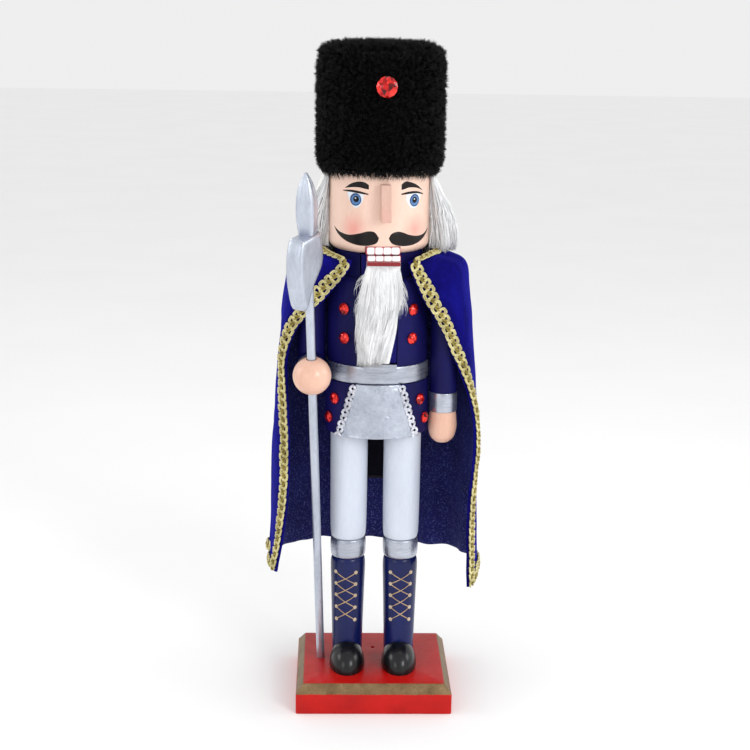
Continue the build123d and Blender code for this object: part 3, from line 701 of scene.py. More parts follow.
LACE_Z = (75.7, 68.4, 61.2, 53.7, 45.9)
LACE_A = 36.0
for word, cx in (("left", LEG_X), ("right", -LEG_X)):
    add(f"shoe_{word}", *shoe(cx), "figure", [f"shoe_{word}"], "shoe_paint", [M["shoe"]], sharp=50)
    add(f"boot_{word}", *lathe(BOOT, 72, cx, LEG_Y, wobble=0.004), "figure", [f"boot_{word}"], "boot_paint", [M["boot"]], sharp=60)
    add(f"knee_cuff_{word}", *lathe(CUFF, 72, cx, LEG_Y), "figure", [f"knee_cuff_{word}"], "silver_paint", [M["silver_band"]], sharp=60)
    add(f"trouser_{word}", *lathe(TROUSER, 72, cx, LEG_Y, wobble=0.004), "figure", [f"trouser_leg_{word}"], "trouser_paint", [M["trouser"]], sharp=60)

    turn = 1.2 if word == "left" else -8.5

    def on_boot(a, z, lift):
        r = radius_at(BOOT, z) + lift
        t = math.radians(a + turn)
        return np.array([cx + r * math.sin(t), LEG_Y - r * math.cos(t), z])

    parts = []
    for k in range(len(LACE_Z) - 1):
        for s in (-1, 1):
            n = 15
            t = np.linspace(0, 1, n)
            path = np.array([on_boot(s * LACE_A * (1 - 2 * q), LACE_Z[k] + (LACE_Z[k + 1] - LACE_Z[k]) * q, 0.12 + (0.16 if s > 0 else 0) * math.sin(pi * q)) for q in t])
            ref = path - np.array([cx, LEG_Y, 0]) * [1, 1, 0] - path * [0, 0, 1]
            parts.append(tube(path, 0.27 + 0.05 * np.sin(t * 9 + k + s), ref, 6, True, 0.55))
    add(f"laces_{word}", *join(parts), "figure", (), "boot_paint", [M["lace"]])
    parts = []
    for z in LACE_Z:
        for s in (-1, 1):
            c = on_boot(s * LACE_A, z, 0.0)
            out = (c - np.array([cx, LEG_Y, z]))
            out /= np.linalg.norm(out)
            side = np.cross([0, 0, 1.0], out)
            prof = [(0.0, -0.35), (1.1, -0.35), (1.16, 0.1), (1.0, 0.3), (0.72, 0.36), (0.5, 0.24), (0.3, 0.2), (0.0, 0.22)]
            parts.append(lathe(prof, 14, frame3=(c, side, np.array([0, 0, 1.0]), out)))
    add(f"eyelets_{word}", *join(parts), "figure", (), "boot_paint", [M["eyelet"]])

# ================================================================ torso, skirt, belt, apron
SKIRT_A, SKIRT_B = 29.5, 25.2
sk = rounded([(0.0, 161.0), (0.985, 161.0), (1.0, 161.6), (1.0, 191.7), (0.985, 192.2), (0.0, 192.2)], [0, 0.3, 0.3, 0.3, 0.3, 0], 4)
sk[:, 0] = np.clip(sk[:, 0], 0.001, 1.0)
add("skirt", *lathe(sk, 128, ax=SKIRT_A, ay=SKIRT_B), "figure", ["skirt_block"], "jacket_paint", [M["jacket"]], sharp=40)


def ellipse_band(A, B, z0, z1, t, seg=160, r=0.35, bulge=0.0):
    th = np.linspace(0, 2 * pi, seg, endpoint=False)
    N = np.column_stack([np.cos(th) / A, np.sin(th) / B])
    N /= np.linalg.norm(N, axis=1, keepdims=True)
    base = np.column_stack([A * np.cos(th), B * np.sin(th)])
    prof = [(0.02, z0 + r), (t - r, z0 + r * 0.2), (t, z0 + r)]
    prof = [(0.02, z0), (t - r, z0), (t - r * 0.3, z0 + r * 0.3), (t, z0 + r)]
    zz = np.linspace(z0 + r, z1 - r, 8)[1:-1]
    prof += [(t + bulge * math.sin(pi * (q - z0) / (z1 - z0)), q) for q in zz]
    prof += [(t, z1 - r), (t - r * 0.3, z1 - r * 0.3), (t - r, z1), (0.02, z1)]
    P = np.array([np.column_stack([base + N * o, np.full(seg, q)]) for o, q in prof])
    P = np.concatenate([P, P[:1]])
    v = P[:-1].reshape(-1, 3)
    n = len(prof)
    idx = np.arange(n * seg).reshape(n, seg)
    a, b = idx, np.roll(idx, -1, 0)
    q = np.stack([a, np.roll(a, -1, 1), np.roll(b, -1, 1), b], -1).reshape(-1, 4)
    return v, [q]


BELT_A, BELT_B = 29.5, 25.2
blo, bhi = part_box("belt_band")
BELT_A, BELT_B = bhi[0] / MM - 0.9, bhi[1] / MM - 0.9
add("belt", *ellipse_band(BELT_A, BELT_B, blo[2] / MM, bhi[2] / MM, 0.9, bulge=0.12), "figure", ["belt_band"], "silver_paint", [M["silver_band"]], sharp=60)


def block(lo, hi):
    (x0, y0, z0), (x1, y1, z1) = lo, hi
    v = np.array([(x0, y0, z0), (x1, y0, z0), (x1, y1, z0), (x0, y1, z0), (x0, y0, z1), (x1, y0, z1), (x1, y1, z1), (x0, y1, z1)])
    return v, [np.array([(0, 3, 2, 1), (4, 5, 6, 7), (0, 1, 5, 4), (1, 2, 6, 5), (2, 3, 7, 6), (3, 0, 4, 7)])]


def loft_outline(outline, y_front, y_back, crown=0.0):
    """A flat board between two Y planes from an (x, z) outline."""
    o = np.asarray(outline, float)
    n = len(o)
    P = np.array([[(x, y_front, z) for x, z in o], [(x, y_back, z) for x, z in o]])
    idx = np.arange(2 * n).reshape(2, n)
    q = np.stack([idx[0], idx[1], np.roll(idx[1], -1), np.roll(idx[0], -1)], -1)
    return P.reshape(-1, 3), [q, np.array([idx[0], idx[1][::-1]])]


clo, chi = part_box("belt_clasp")
add("belt_clasp", *block([c / MM for c in clo], [c / MM for c in chi]), "figure", ["belt_clasp"], "silver_paint", [M["silver_band"]], bevel=0.5, segs=3)


add("belt_clasp_tab", *block((-7.4, -28.15, clo[2] / MM + 1.2), (10.3, -27.4, 204.7)), "figure", (), "silver_paint", [M["silver_band"]], bevel=0.3, segs=3)


def on_skirt(x, z, lift):
    """A point standing off the skirt's front."""
    A, B = SKIRT_A, SKIRT_B
    x = np.clip(x, -A * 0.98, A * 0.98)
    y = -B * np.sqrt(1 - (x / A) ** 2)
    n = np.stack([x / A**2, y / B**2], -1)
    n /= np.linalg.norm(n, axis=-1, keepdims=True)
    return np.stack([x + n[..., 0] * lift, y + n[..., 1] * lift, z + 0 * x], -1), np.stack([n[..., 0], n[..., 1], 0 * x], -1)


def apron():
    nu, nv = 66, 54
    u = np.linspace(-1, 1, nu)
    zz = np.concatenate([[192.25], np.linspace(192.0, 161.3, nv - 2), [161.05]])
    crumple = noise2(5, (nv, nu), 16, 18) * 0.10 + noise2(6, (nv, nu), 30, 34) * 0.05
    top, bot = [], []
    for i, z in enumerate(zz):
        hw = 12.2 + (20.6 - 12.2) * (192.2 - z) / (192.2 - 161.0)
        sag = 0.35 * math.cos(pi * (z - 161) / 31.2) * 0
        edge = np.minimum(1, (1 - np.abs(u)) / 0.035) ** 0.5
        end = 0.55 if i in (0, nv - 1) else 1.0
        lift = 0.25 + (0.85 * end) * edge + crumple[i] * edge + 0.25 * np.exp(-((z - 161) / 1.6) ** 2)
        p, _ = on_skirt(u * hw, z - 0.0 * u + sag, lift)
        q, _ = on_skirt(u * hw, z + 0.0 * u, np.full(nu, 0.02))
        top.append(p)
        bot.append(q)
    top, bot = np.array(top), np.array(bot)
    return closed_sheet(top, bot)


def closed_sheet(outer, inner, mats=None):
    """A closed cloth or plate between two grids."""
    r, c = outer.shape[:2]
    idx = np.arange(r * c).reshape(r, c)
    off = r * c
    a = np.stack([idx[:-1, :-1], idx[1:, :-1], idx[1:, 1:], idx[:-1, 1:]], -1).reshape(-1, 4)
    b = a[:, ::-1] + off
    rim = np.concatenate([idx[0, :], idx[1:, -1], idx[-1, -2::-1], idx[-2:0:-1, 0]])
    nxt = np.roll(rim, -1)
    s = np.stack([rim, nxt, nxt + off, rim + off], -1)
    return np.concatenate([outer.reshape(-1, 3), inner.reshape(-1, 3)]), [np.concatenate([a, b, s])]


add("apron", *apron(), "figure", ["apron_panel"], "silver_paint", [M["silver_foil"]], sharp=60)


def plait(name, side, node):
    """A three-strand silver braid down the apron's slanted edge, with a loose tail."""
    z0, z1 = 191.6, 161.2
    L = 31.6
    n = int(L / 5.4 * 22)
    t = np.linspace(0, 1, n)
    parts = []
    for k in range(2):
        ph = 2 * pi * (t * L / 7.4) + pi * k
        lat = 1.35 * np.sin(ph)
        hgt = 1.35 + 0.42 * np.sin(2 * ph + pi * k + 0.5)
        x = side * (12.8 + 8.4 * t) + lat * 0.965
        z = z0 + (z1 - z0) * t + side * lat * 0.26
        P, N = on_skirt(x, z, hgt)
        P[:, 2] = z
        T = np.gradient(P, axis=0)
        T /= np.linalg.norm(T, axis=1, keepdims=True)
        A = np.cross(T, N)
        for off in (-0.52, 0.0, 0.52):
            parts.append(tube(P + A * off + N * (0.12 if off == 0 else 0), 0.31, N, 7))
    tail = smooth_curve([(side * 21.0, 0, 161.9), (side * 22.4, 0, 161.6), (side * 23.8, 0, 161.8 if side > 0 else 160.9)], 6)
    P, N = on_skirt(tail[:, 0], tail[:, 2], 0.9)
    P[:, 2] = tail[:, 2]
    for off in (-0.35, 0.0, 0.35):
        Q = P + np.array([0, 0, off]) * np.linspace(0.6, 1.5, len(P))[:, None]
        parts.append(tube(Q, 0.2, N, 5))
    add(name, *join(parts), "figure", [node], "silver_braid", [M["silver_thread"]])


plait("apron_braid_left", 1, "apron_braid_left")
plait("apron_braid_right", -1, "apron_braid_right")


# ================================================================ jewels
def gem(node, name):
    lo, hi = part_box(node)
    lo, hi = np.array(lo) / MM, np.array(hi) / MM
    c = (lo + hi) / 2
    return c, (hi[2] - lo[2]) / 2, lo, hi


def gem_mesh(c, out, r, depth=1.9, n=12, spin=0.0):
    """A faceted stone: a rose of kites round a small flat table."""
    out = np.asarray(out, float)
    out /= np.linalg.norm(out)
    side = np.cross([0, 0, 1.0], out)
    side /= np.linalg.norm(side)
    up = np.cross(out, side)
    rows = []
    for rad, h, ph in ((0.80, -0.9, 0.0), (1.0, 0.0, 0.0), (0.98, 0.16, 0.0), (0.72, 0.62, 0.5), (0.40, 0.9, 0.0)):
        th = 2 * pi * (np.arange(n) + ph) / n + spin
        rows.append(c + out * h * depth * 1.0 + rad * r * (np.cos(th)[:, None] * side + np.sin(th)[:, None] * up))
    v = np.concatenate(rows)
    idx = np.arange(5 * n).reshape(5, n)
    quads = [np.stack([idx[0], np.roll(idx[0], -1), np.roll(idx[1], -1), idx[1]], -1), np.stack([idx[1], np.roll(idx[1], -1), np.roll(idx[2], -1), idx[2]], -1)]
    tris = []
    a, b = idx[2], idx[3]
    tris.append(np.stack([a, np.roll(a, -1), b], -1))
    tris.append(np.stack([b, np.roll(a, -1), np.roll(b, -1)], -1))
    a, b = idx[3], idx[4]
    tris.append(np.stack([a, np.roll(b, -1), b], -1))
    tris.append(np.stack([a, np.roll(a, -1), np.roll(b, -1)], -1))
    return v, [np.concatenate(quads), np.concatenate(tris), np.array([idx[4], idx[0][::-1]])]


TORSO_A, TORSO_B = 28.4, 24.0
for where, A, B in (("chest", TORSO_A, TORSO_B), ("skirt", SKIRT_A, SKIRT_B)):
    for level in ("upper", "lower"):
        for word in ("left", "right"):
            node = f"{where}_jewel_{level}_{word}"
            c, r, lo, hi = gem(node, node)
            x = c[0]
            y = -B * math.sqrt(max(1 - (x / A) ** 2, 0.01))
            nrm = np.array([x / A**2, y / B**2, 0.0])
            nrm /= np.linalg.norm(nrm)
            add(node, *gem_mesh(np.array([x, y, c[2]]) + nrm * 0.75, nrm, r * 1.02, 1.7, 11, 0.3 * len(level + word)), "figure", [node], "red_jewel", [M["gem"]], smooth=False)
c, r, lo, hi = gem("hat_jewel", "hat_jewel")
r_hat_jewel = r
turn = math.radians(3.2)
nrm = np.array([math.sin(turn), -math.cos(turn), 0.0])
HAT_JEWEL = np.array([nrm[0] * 36.6, nrm[1] * 36.6, c[2]])
add("hat_jewel", *gem_mesh(HAT_JEWEL, nrm, r * 1.02, 3.0, 14), "figure", ["hat_jewel"], "red_jewel", [M["gem"]], smooth=False)

# ================================================================ arms and hands
ARM_X, SLEEVE_Y = 38.0, -4.0
prof = rounded([(0.0, 184.0), (7.8, 184.0), (7.8, 249.0), (7.2, 252.6), (5.2, 254.0), (0.0, 254.0)], [0, 0.3, 3, 1.5, 1.5, 0])
add("sleeve_left", *lathe(prof, 64, ARM_X, SLEEVE_Y, wobble=0.004), "figure", ["sleeve_left"], "jacket_paint", [M["jacket"]], sharp=50)
prof = rounded([(0.0, 172.7), (8.1, 172.7), (8.1, 184.0), (0.0, 184.0)], [0, 0.45, 0.45, 0], 4)
add("arm_cuff_left", *lathe(prof, 64, ARM_X, SLEEVE_Y), "figure", ["arm_cuff_left"], "silver_paint", [M["silver_band"]], sharp=50)
prof = smooth_curve([(0.3, 153.4), (2.6, 153.75), (4.6, 154.7), (7.0, 157.6), (8.2, 163.0), (8.0, 168.5), (7.5, 172.7)], 7)
prof = np.concatenate([prof, [(0.0, 172.7)]])
add("hand_left", *lathe(prof, 64, ARM_X, SLEEVE_Y, wobble=0.006), "figure", ["hand_left"], "skin_paint", [M["hand"]], sharp=60)

FORE_X, FORE_Z = -37.4, 200.0
prof = rounded([(0.0, 196.0), (7.8, 196.0), (7.8, 249.0), (7.2, 252.6), (5.2, 254.0), (0.0, 254.0)], [0, 0.3, 3, 1.5, 1.5, 0])
add("upper_arm_right", *lathe(prof, 64, FORE_X, -2.0, wobble=0.004), "figure", ["upper_arm_right"], "jacket_paint", [M["jacket"]], sharp=50)
ydir = (np.array([FORE_X, 0.0, FORE_Z]), np.array([1.0, 0, 0]), np.array([0, 0, 1.0]), np.array([0, -1.0, 0]))
prof = rounded([(0.0, -5.8), (4.8, -5.8), (7.8, -2.8), (7.8, 17.0), (0.0, 17.0)], [0, 1.2, 1.6, 0.3, 0], 6)
add("forearm_right", *lathe(prof, 64, frame3=ydir), "figure", ["forearm_right"], "jacket_paint", [M["jacket"]], sharp=50)
prof = rounded([(0.0, 17.0), (8.1, 17.0), (8.1, 27.2), (0.0, 27.2)], [0, 0.45, 0.45, 0], 4)
add("arm_cuff_right", *lathe(prof, 64, frame3=ydir), "figure", ["arm_cuff_right"], "silver_paint", [M["silver_band"]], sharp=50)

# ================================================================ halberd
FOOT = np.array([-31.0, 0.5, 17.3])
D = np.array([-0.0296, -0.191, 0.981])
D /= np.linalg.norm(D)
HX = np.array([-0.5, -0.8660254, 0.0])
HX -= D * HX.dot(D)
HX /= np.linalg.norm(HX)
HY = np.cross(D, HX)
AXIS = (FOOT, HX, HY, D)
FIST_AT = FOOT + D * 186.1
FIST_R = 10.6
a = np.linspace(math.asin(2.75 / FIST_R) + 0.03, pi - math.asin(2.75 / FIST_R) - 0.03, 56)
prof = [(2.75, -8.0), (2.75, -9.6), (2.95, -10.05)] + [(FIST_R * math.sin(q), -FIST_R * math.cos(q)) for q in a] + [(2.95, 10.05), (2.75, 9.6), (2.75, 8.0), (2.75, -8.0)]
pf = np.array(prof)
v, g = lathe(pf[:-1], 80, frame3=(FIST_AT, HX, HY, D), wobble=0.003)
nseg = 80
last = np.arange(len(v) - nseg, len(v))
first = np.arange(nseg)
bore = np.stack([last, np.roll(last, -1), np.roll(first, -1), first], -1)
add("fist_right", v, [np.concatenate([g[0], bore])], "figure", ["fist_right"], "skin_paint", [M["hand"]], sharp=60)

s = np.linspace(-5.4, 274.5, 60)
wob = 2.4 + 0.03 * noise1(31, 60, 12)
wob[0], wob[-1] = 1.9, 1.9
prof = np.concatenate([[(0.0, -5.4)], np.column_stack([wob, s]), [(0.0, 274.5)]])
prof[1:-1, 0] = np.minimum(prof[1:-1, 0], 2.4)
add("halberd_shaft", *lathe(prof, 32, frame3=AXIS), "halberd", ["halberd_shaft"], "halberd_silver", [M["silver_axe"]], sharp=60)

AXE_TOP = 268.5
corners = [(-6.0, 0.0), (-8.0, -9.0), (-8.1, -15.0), (-5.6, -20.6), (3.4, -29.5), (9.3, -38.6), (11.2, -39.6), (12.6, -36.5), (14.4, -29.0), (15.6, -20.0), (15.0, -10.0), (12.9, -3.0), (11.0, 0.0)]
line = smooth_curve(corners, 5)


def axe_mesh():
    """The blade: flat cheeks that round over towards the rim."""
    o = line.copy()
    c = np.array([5.0, -15.0])
    rows = []
    for inset, y in ((3.2, -5.0), (2.4, -5.0), (1.3, -4.85), (0.65, -4.45), (0.2, -3.7), (0.0, -2.6), (0.0, 0.0), (0.0, 2.6), (0.2, 3.7), (0.65, 4.45), (1.3, 4.85), (2.4, 5.0), (3.2, 5.0)):
        T = np.roll(o, -1, 0) - np.roll(o, 1, 0)
        T /= np.linalg.norm(T, axis=1, keepdims=True)
        N = np.column_stack([T[:, 1], -T[:, 0]])
        if ((o + N - c) ** 2).sum() < ((o - N - c) ** 2).sum():
            N = -N
        q = c + (o - c) * (1 - inset / 13.0)
        q[:, 1] = np.minimum(q[:, 1], 0.0 - (0.25 if inset else 0.0) * 0)
        rows.append(FOOT + HX * q[:, 0:1] + HY * y + D * (AXE_TOP + q[:, 1:2]))
    P = np.array(rows)
    return rings(P)


add("halberd_axe", *axe_mesh(), "halberd", ["halberd_axe"], "halberd_silver", [M["silver_axe"]], sharp=45)


def tip_mesh():
    sec = smooth_curve([(0, 4.6), (2, 5.15), (8, 5.75), (14, 5.85), (20, 5.4), (26, 4.0), (30, 2.35), (32.4, 1.1), (33.2, 0.35)], 4)
    rows = []
    n = 48
    for h, r in sec:
        th = np.linspace(0, 2 * pi, n, endpoint=False) + math.radians(12)
        k = r * (0.80 + 0.26 * np.abs(np.cos(2 * (th - math.radians(12)))) ** 2.2)
        rows.append(FOOT + HX * (k * np.cos(th + pi / 4))[:, None] + HY * (k * np.sin(th + pi / 4))[:, None] + D * (AXE_TOP + h))
    return rings(np.array(rows))


add("halberd_tip", *tip_mesh(), "halberd", ["halberd_tip"], "halberd_silver", [M["silver_axe"]], sharp=50)

# ================================================================ jaw front
board = rounded([(0.0, 205.0), (6.0, 205.0), (9.9, 224.0), (10.6, 236.0), (11.3, 262.0), (-7.2, 262.0), (-7.0, 224.0), (-6.1, 205.0), (0.0, 205.0)], [0, 0.6, 6, 6, 0.4, 0.4, 6, 0.6, 0], 4)[:-1]
add("chin_board", *loft_outline(board, -27.3, -24.85), "jaw", ["chin_board"], "white_paint", [M["board"]], bevel=0.35, segs=2)


def tile(cx, cz, w, h, y, bulge=0.55, seed=0):
    """One tooth: a pillow with rounded corners."""
    g = np.random.default_rng(seed)
    n = 28
    th = np.linspace(0, 2 * pi, n, endpoint=False)
    e = 0.42
    sx = np.sign(np.cos(th)) * np.abs(np.cos(th)) ** e
    sz = np.sign(np.sin(th)) * np.abs(np.sin(th)) ** e
    w2, h2 = w / 2 * (1 + 0.04 * g.standard_normal()), h / 2
    rows = []
    for k, dy in ((1.0, 0.6), (1.0, 0.05), (0.97, -0.15), (0.88, -0.32), (0.7, -0.45), (0.4, -0.53), (0.12, -0.55)):
        rows.append(np.column_stack([cx + sx * w2 * k, np.full(n, y + dy * bulge / 0.55), cz + sz * h2 * k]))
    return rings(np.array(rows))


lo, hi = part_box("lower_teeth")
LT = [lo[0] / MM, hi[0] / MM, lo[2] / MM, hi[2] / MM, lo[1] / MM, hi[1] / MM]
add("lower_gum", *block((LT[0], LT[4] + 0.45, LT[2]), (LT[1], LT[5], LT[3])), "jaw", ["lower_teeth"], "teeth_paint", [M["gum"]], bevel=0.25, segs=2)
w = (LT[1] - LT[0] - 0.6) / 4
parts = [tile(LT[0] + 0.3 + w * (i + 0.5), (LT[2] + LT[3]) / 2 + 0.12, w - 0.2, LT[3] - LT[2] - 0.2, LT[4] + 0.45, 0.5, i) for i in range(4)]
add("lower_teeth", *join(parts), "jaw", (), "teeth_paint", [M["tooth"]], sharp=70)
strip = rounded([(0.0, 259.7), (LT[1] - 0.1, 259.7), (LT[1] - 0.1, 261.9), (LT[0] + 0.1, 261.9), (LT[0] + 0.1, 259.7), (0.0, 259.7)], [0, 0.4, 0.4, 0.4, 0.4, 0], 3)[:-1]
add("lower_lip", *loft_outline(strip, -27.75, -27.2), "jaw", (), "teeth_paint", [M["lip"]], bevel=0.15, segs=2)

HT = math.radians(3.2)


def turned_head(v, HT=HT):
    v = np.asarray(v, float)
    x, y = v[..., 0], v[..., 1]
    out = v.copy()
    out[..., 0] = x * math.cos(HT) - y * math.sin(HT)
    out[..., 1] = x * math.sin(HT) + y * math.cos(HT)
    return out


v, g = block((-9.3, -28.45, 266.12), (9.3, -22.0, 270.4))
add("upper_gum", turned_head(v), g, "figure", ["upper_teeth"], "teeth_paint", [M["gum"]], bevel=0.25, segs=2)
w = (18.6 - 0.7) / 4
parts = [tile(-9.3 + 0.35 + w * (i + 0.5), 268.2, w - 0.2, 3.95, -28.45, 0.5, 10 + i) for i in range(4)]
v, g = join(parts)
add("upper_teeth", turned_head(v), g, "figure", (), "teeth_paint", [M["tooth"]], sharp=70)

# ================================================================ nose
nose_side = [(-26.5, 284.6), (-37.4, 284.6), (-33.6, 304.4), (-26.5, 304.4)]
v = np.array([(x, y, z) for x in (-2.7, 2.7) for y, z in nose_side])
g = [np.array([(0, 1, 2, 3), (7, 6, 5, 4), (0, 4, 5, 1), (1, 5, 6, 2), (2, 6, 7, 3), (3, 7, 4, 0)])]
add("nose", turned_head(v, math.radians(4.6)), g, "figure", ["nose"], "skin_paint", [M["nose"]], bevel=0.45, segs=3)

# ================================================================ painted face: thin raised layers of paint
HEAD_R = 28.0


def on_head(a, z, lift):
    """Arc position a in degrees from the front (positive to +X)."""
    t = np.radians(a + 2.0)
    r = HEAD_R + lift
    drop = np.clip((271.0 - z) / 5.0, 0, 1)
    r = r - 5.0 * (1 - np.sqrt(np.maximum(1 - drop**2, 0)))
    return np.stack([r * np.sin(t), -r * np.cos(t), z + 0 * t], -1)


def layer(name, upper, lower, mat, lift=0.14, n=40, m=8, slot="skin_paint"):
    """A patch of paint between an upper and a lower edge, each a line of (degrees, z)."""
    U, L = smooth_curve(upper, 10), smooth_curve(lower, 10)

    def even(c):
        d = np.concatenate([[0], np.cumsum(np.linalg.norm(np.diff(c, axis=0) * [0.49, 1], axis=1))])
        q = np.linspace(0, d[-1], n)
        return np.column_stack([np.interp(q, d, c[:, 0]), np.interp(q, d, c[:, 1])])

    U, L = even(U), even(L)
    t = np.linspace(0, 1, m)[:, None, None]
    G = U[None] * (1 - t) + L[None] * t
    tt = np.linspace(0, 1, m)
    edge = np.minimum(1, np.minimum(tt, 1 - tt)[:, None] * 6 + 0.0) * np.minimum(1, np.minimum(np.linspace(0, 1, n), 1 - np.linspace(0, 1, n))[None] * 14)
    h = 0.03 + (lift - 0.03) * np.sqrt(np.clip(edge, 0, 1))
    top = on_head(G[..., 0], G[..., 1], h)
    bot = on_head(G[..., 0], G[..., 1], np.full(h.shape, -0.35))
    return add(name, *closed_sheet(top, bot), "figure", (), slot, [mat], sharp=60)


def disc(name, a, z, rx, rz, mat, lift, base=-0.3, n=32, slot="skin_paint"):
    rows = []
    for k, h in ((1.0, base), (1.0, lift - 0.05), (0.92, lift), (0.6, lift + 0.02), (0.3, lift + 0.03), (0.05, lift + 0.03)):
        th = np.linspace(0, 2 * pi, n, endpoint=False)
        aa = a + np.degrees(rx * k * np.cos(th) / HEAD_R)
        zz = z + rz * k * np.sin(th)
        rows.append(on_head(aa, zz, np.full(n, h)))
    return add(name, *rings(np.array(rows)), "figure", (), slot, [mat], sharp=60)


# brows
layer("brow_right", [(-45.9, 301.2), (-37.2, 303.9), (-28.1, 305.2), (-20.5, 305.0), (-15.6, 303.6)], [(-45.9, 301.2), (-36.0, 301.9), (-27.0, 302.1), (-20.0, 301.5), (-15.5, 301.2)], M["black_paint"])
layer("brow_left", [(21.2, 304.0), (25.8, 305.4), (31.5, 305.2), (42.3, 303.3), (53.2, 299.8)], [(21.3, 301.0), (25.5, 301.4), (31.5, 302.1), (42.4, 301.6), (53.2, 299.8)], M["black_paint"])
# eyes: white, ring, iris, pupil, glint, and the line of the upper lid
layer("eye_white_right", [(-42.5, 299.0), (-36.0, 299.6), (-28.0, 299.3), (-21.0, 298.2)], [(-42.5, 299.0), (-39.0, 295.0), (-33.5, 291.4), (-27.0, 291.6), (-22.5, 295.0), (-21.0, 298.2)], M["eye_white"], 0.10)
layer("eye_white_left", [(27.0, 298.2), (34.0, 298.9), (42.0, 298.8), (49.5, 298.0)], [(27.0, 298.2), (28.5, 294.4), (34.0, 291.2), (41.0, 291.0), (47.0, 294.2), (49.5, 298.0)], M["eye_white"], 0.10)
for word, a, z in (("right", -31.0, 295.5), ("left", 39.2, 295.0)):
    disc(f"iris_ring_{word}", a, z, 3.45, 3.4, M["iris_ring"], 0.2)
    disc(f"iris_{word}", a + (0.4 if word == "right" else -0.2), z - 0.1, 2.65, 2.6, M["iris"], 0.26)
    disc(f"pupil_{word}", a + (0.8 if word == "right" else -0.4), z + 0.25, 1.75, 1.7, M["black_paint"], 0.34)
    disc(f"glint_{word}", a + (0.2 if word == "right" else -1.0), z + 0.75, 0.42, 0.4, M["eye_white"], 0.46)
layer("lid_right", [(-48.6, 300.0), (-37.1, 300.5), (-26.7, 300.1), (-15.9, 298.9)], [(-48.6, 299.6), (-37.1, 299.3), (-26.7, 298.8), (-15.9, 298.3)], M["black_paint"], 0.28, 40, 5)
layer("lid_left", [(21.2, 299.0), (31.0, 299.9), (42.5, 299.8), (54.2, 298.2)], [(21.2, 298.3), (31.0, 298.6), (42.5, 298.6), (54.2, 297.6)], M["black_paint"], 0.28, 40, 5)
# moustache
layer("moustache_right", [(-64.8, 279.4), (-57.0, 277.6), (-51.0, 276.7), (-39.0, 276.0), (-26.0, 277.2), (-16.0, 278.6), (-8.5, 278.2), (-3.6, 275.2)], [(-64.8, 279.4), (-57.3, 275.8), (-44.9, 272.7), (-30.8, 270.9), (-18.7, 270.6), (-9.0, 271.6), (-5.0, 273.0), (-3.6, 275.2)], M["black_paint"], 0.2, 60, 12)
layer("moustache_left", [(7.4, 274.8), (10.6, 277.4), (17.5, 278.5), (24.0, 277.9), (32.3, 276.4), (44.3, 275.4), (55.5, 275.7), (63.0, 276.9), (69.8, 278.4)], [(7.4, 274.8), (11.6, 271.9), (22.3, 270.5), (35.4, 270.5), (48.0, 271.9), (60.4, 274.6), (69.8, 278.4)], M["black_paint"], 0.2, 60, 12)

# ================================================================ carried-over CAD nodes
CARRIED = {
    "torso_block": "jacket", "head_block": "face", "collar": "jacket", "jaw_lever": "lever", "hat_core": "card", "pivot_pin": "jacket",
    "leg_dowel_left": "wood", "leg_dowel_right": "wood", "neck_dowel_left": "wood", "neck_dowel_right": "wood", "shoulder_dowel_left": "jacket", "shoulder_dowel_right": "jacket",
}
for node, key in CARRIED.items():
    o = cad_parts[node]
    if not o.material_slots:
        o.data.materials.append(M[key].m)
    for s in o.material_slots:
        s.material = M[key].m

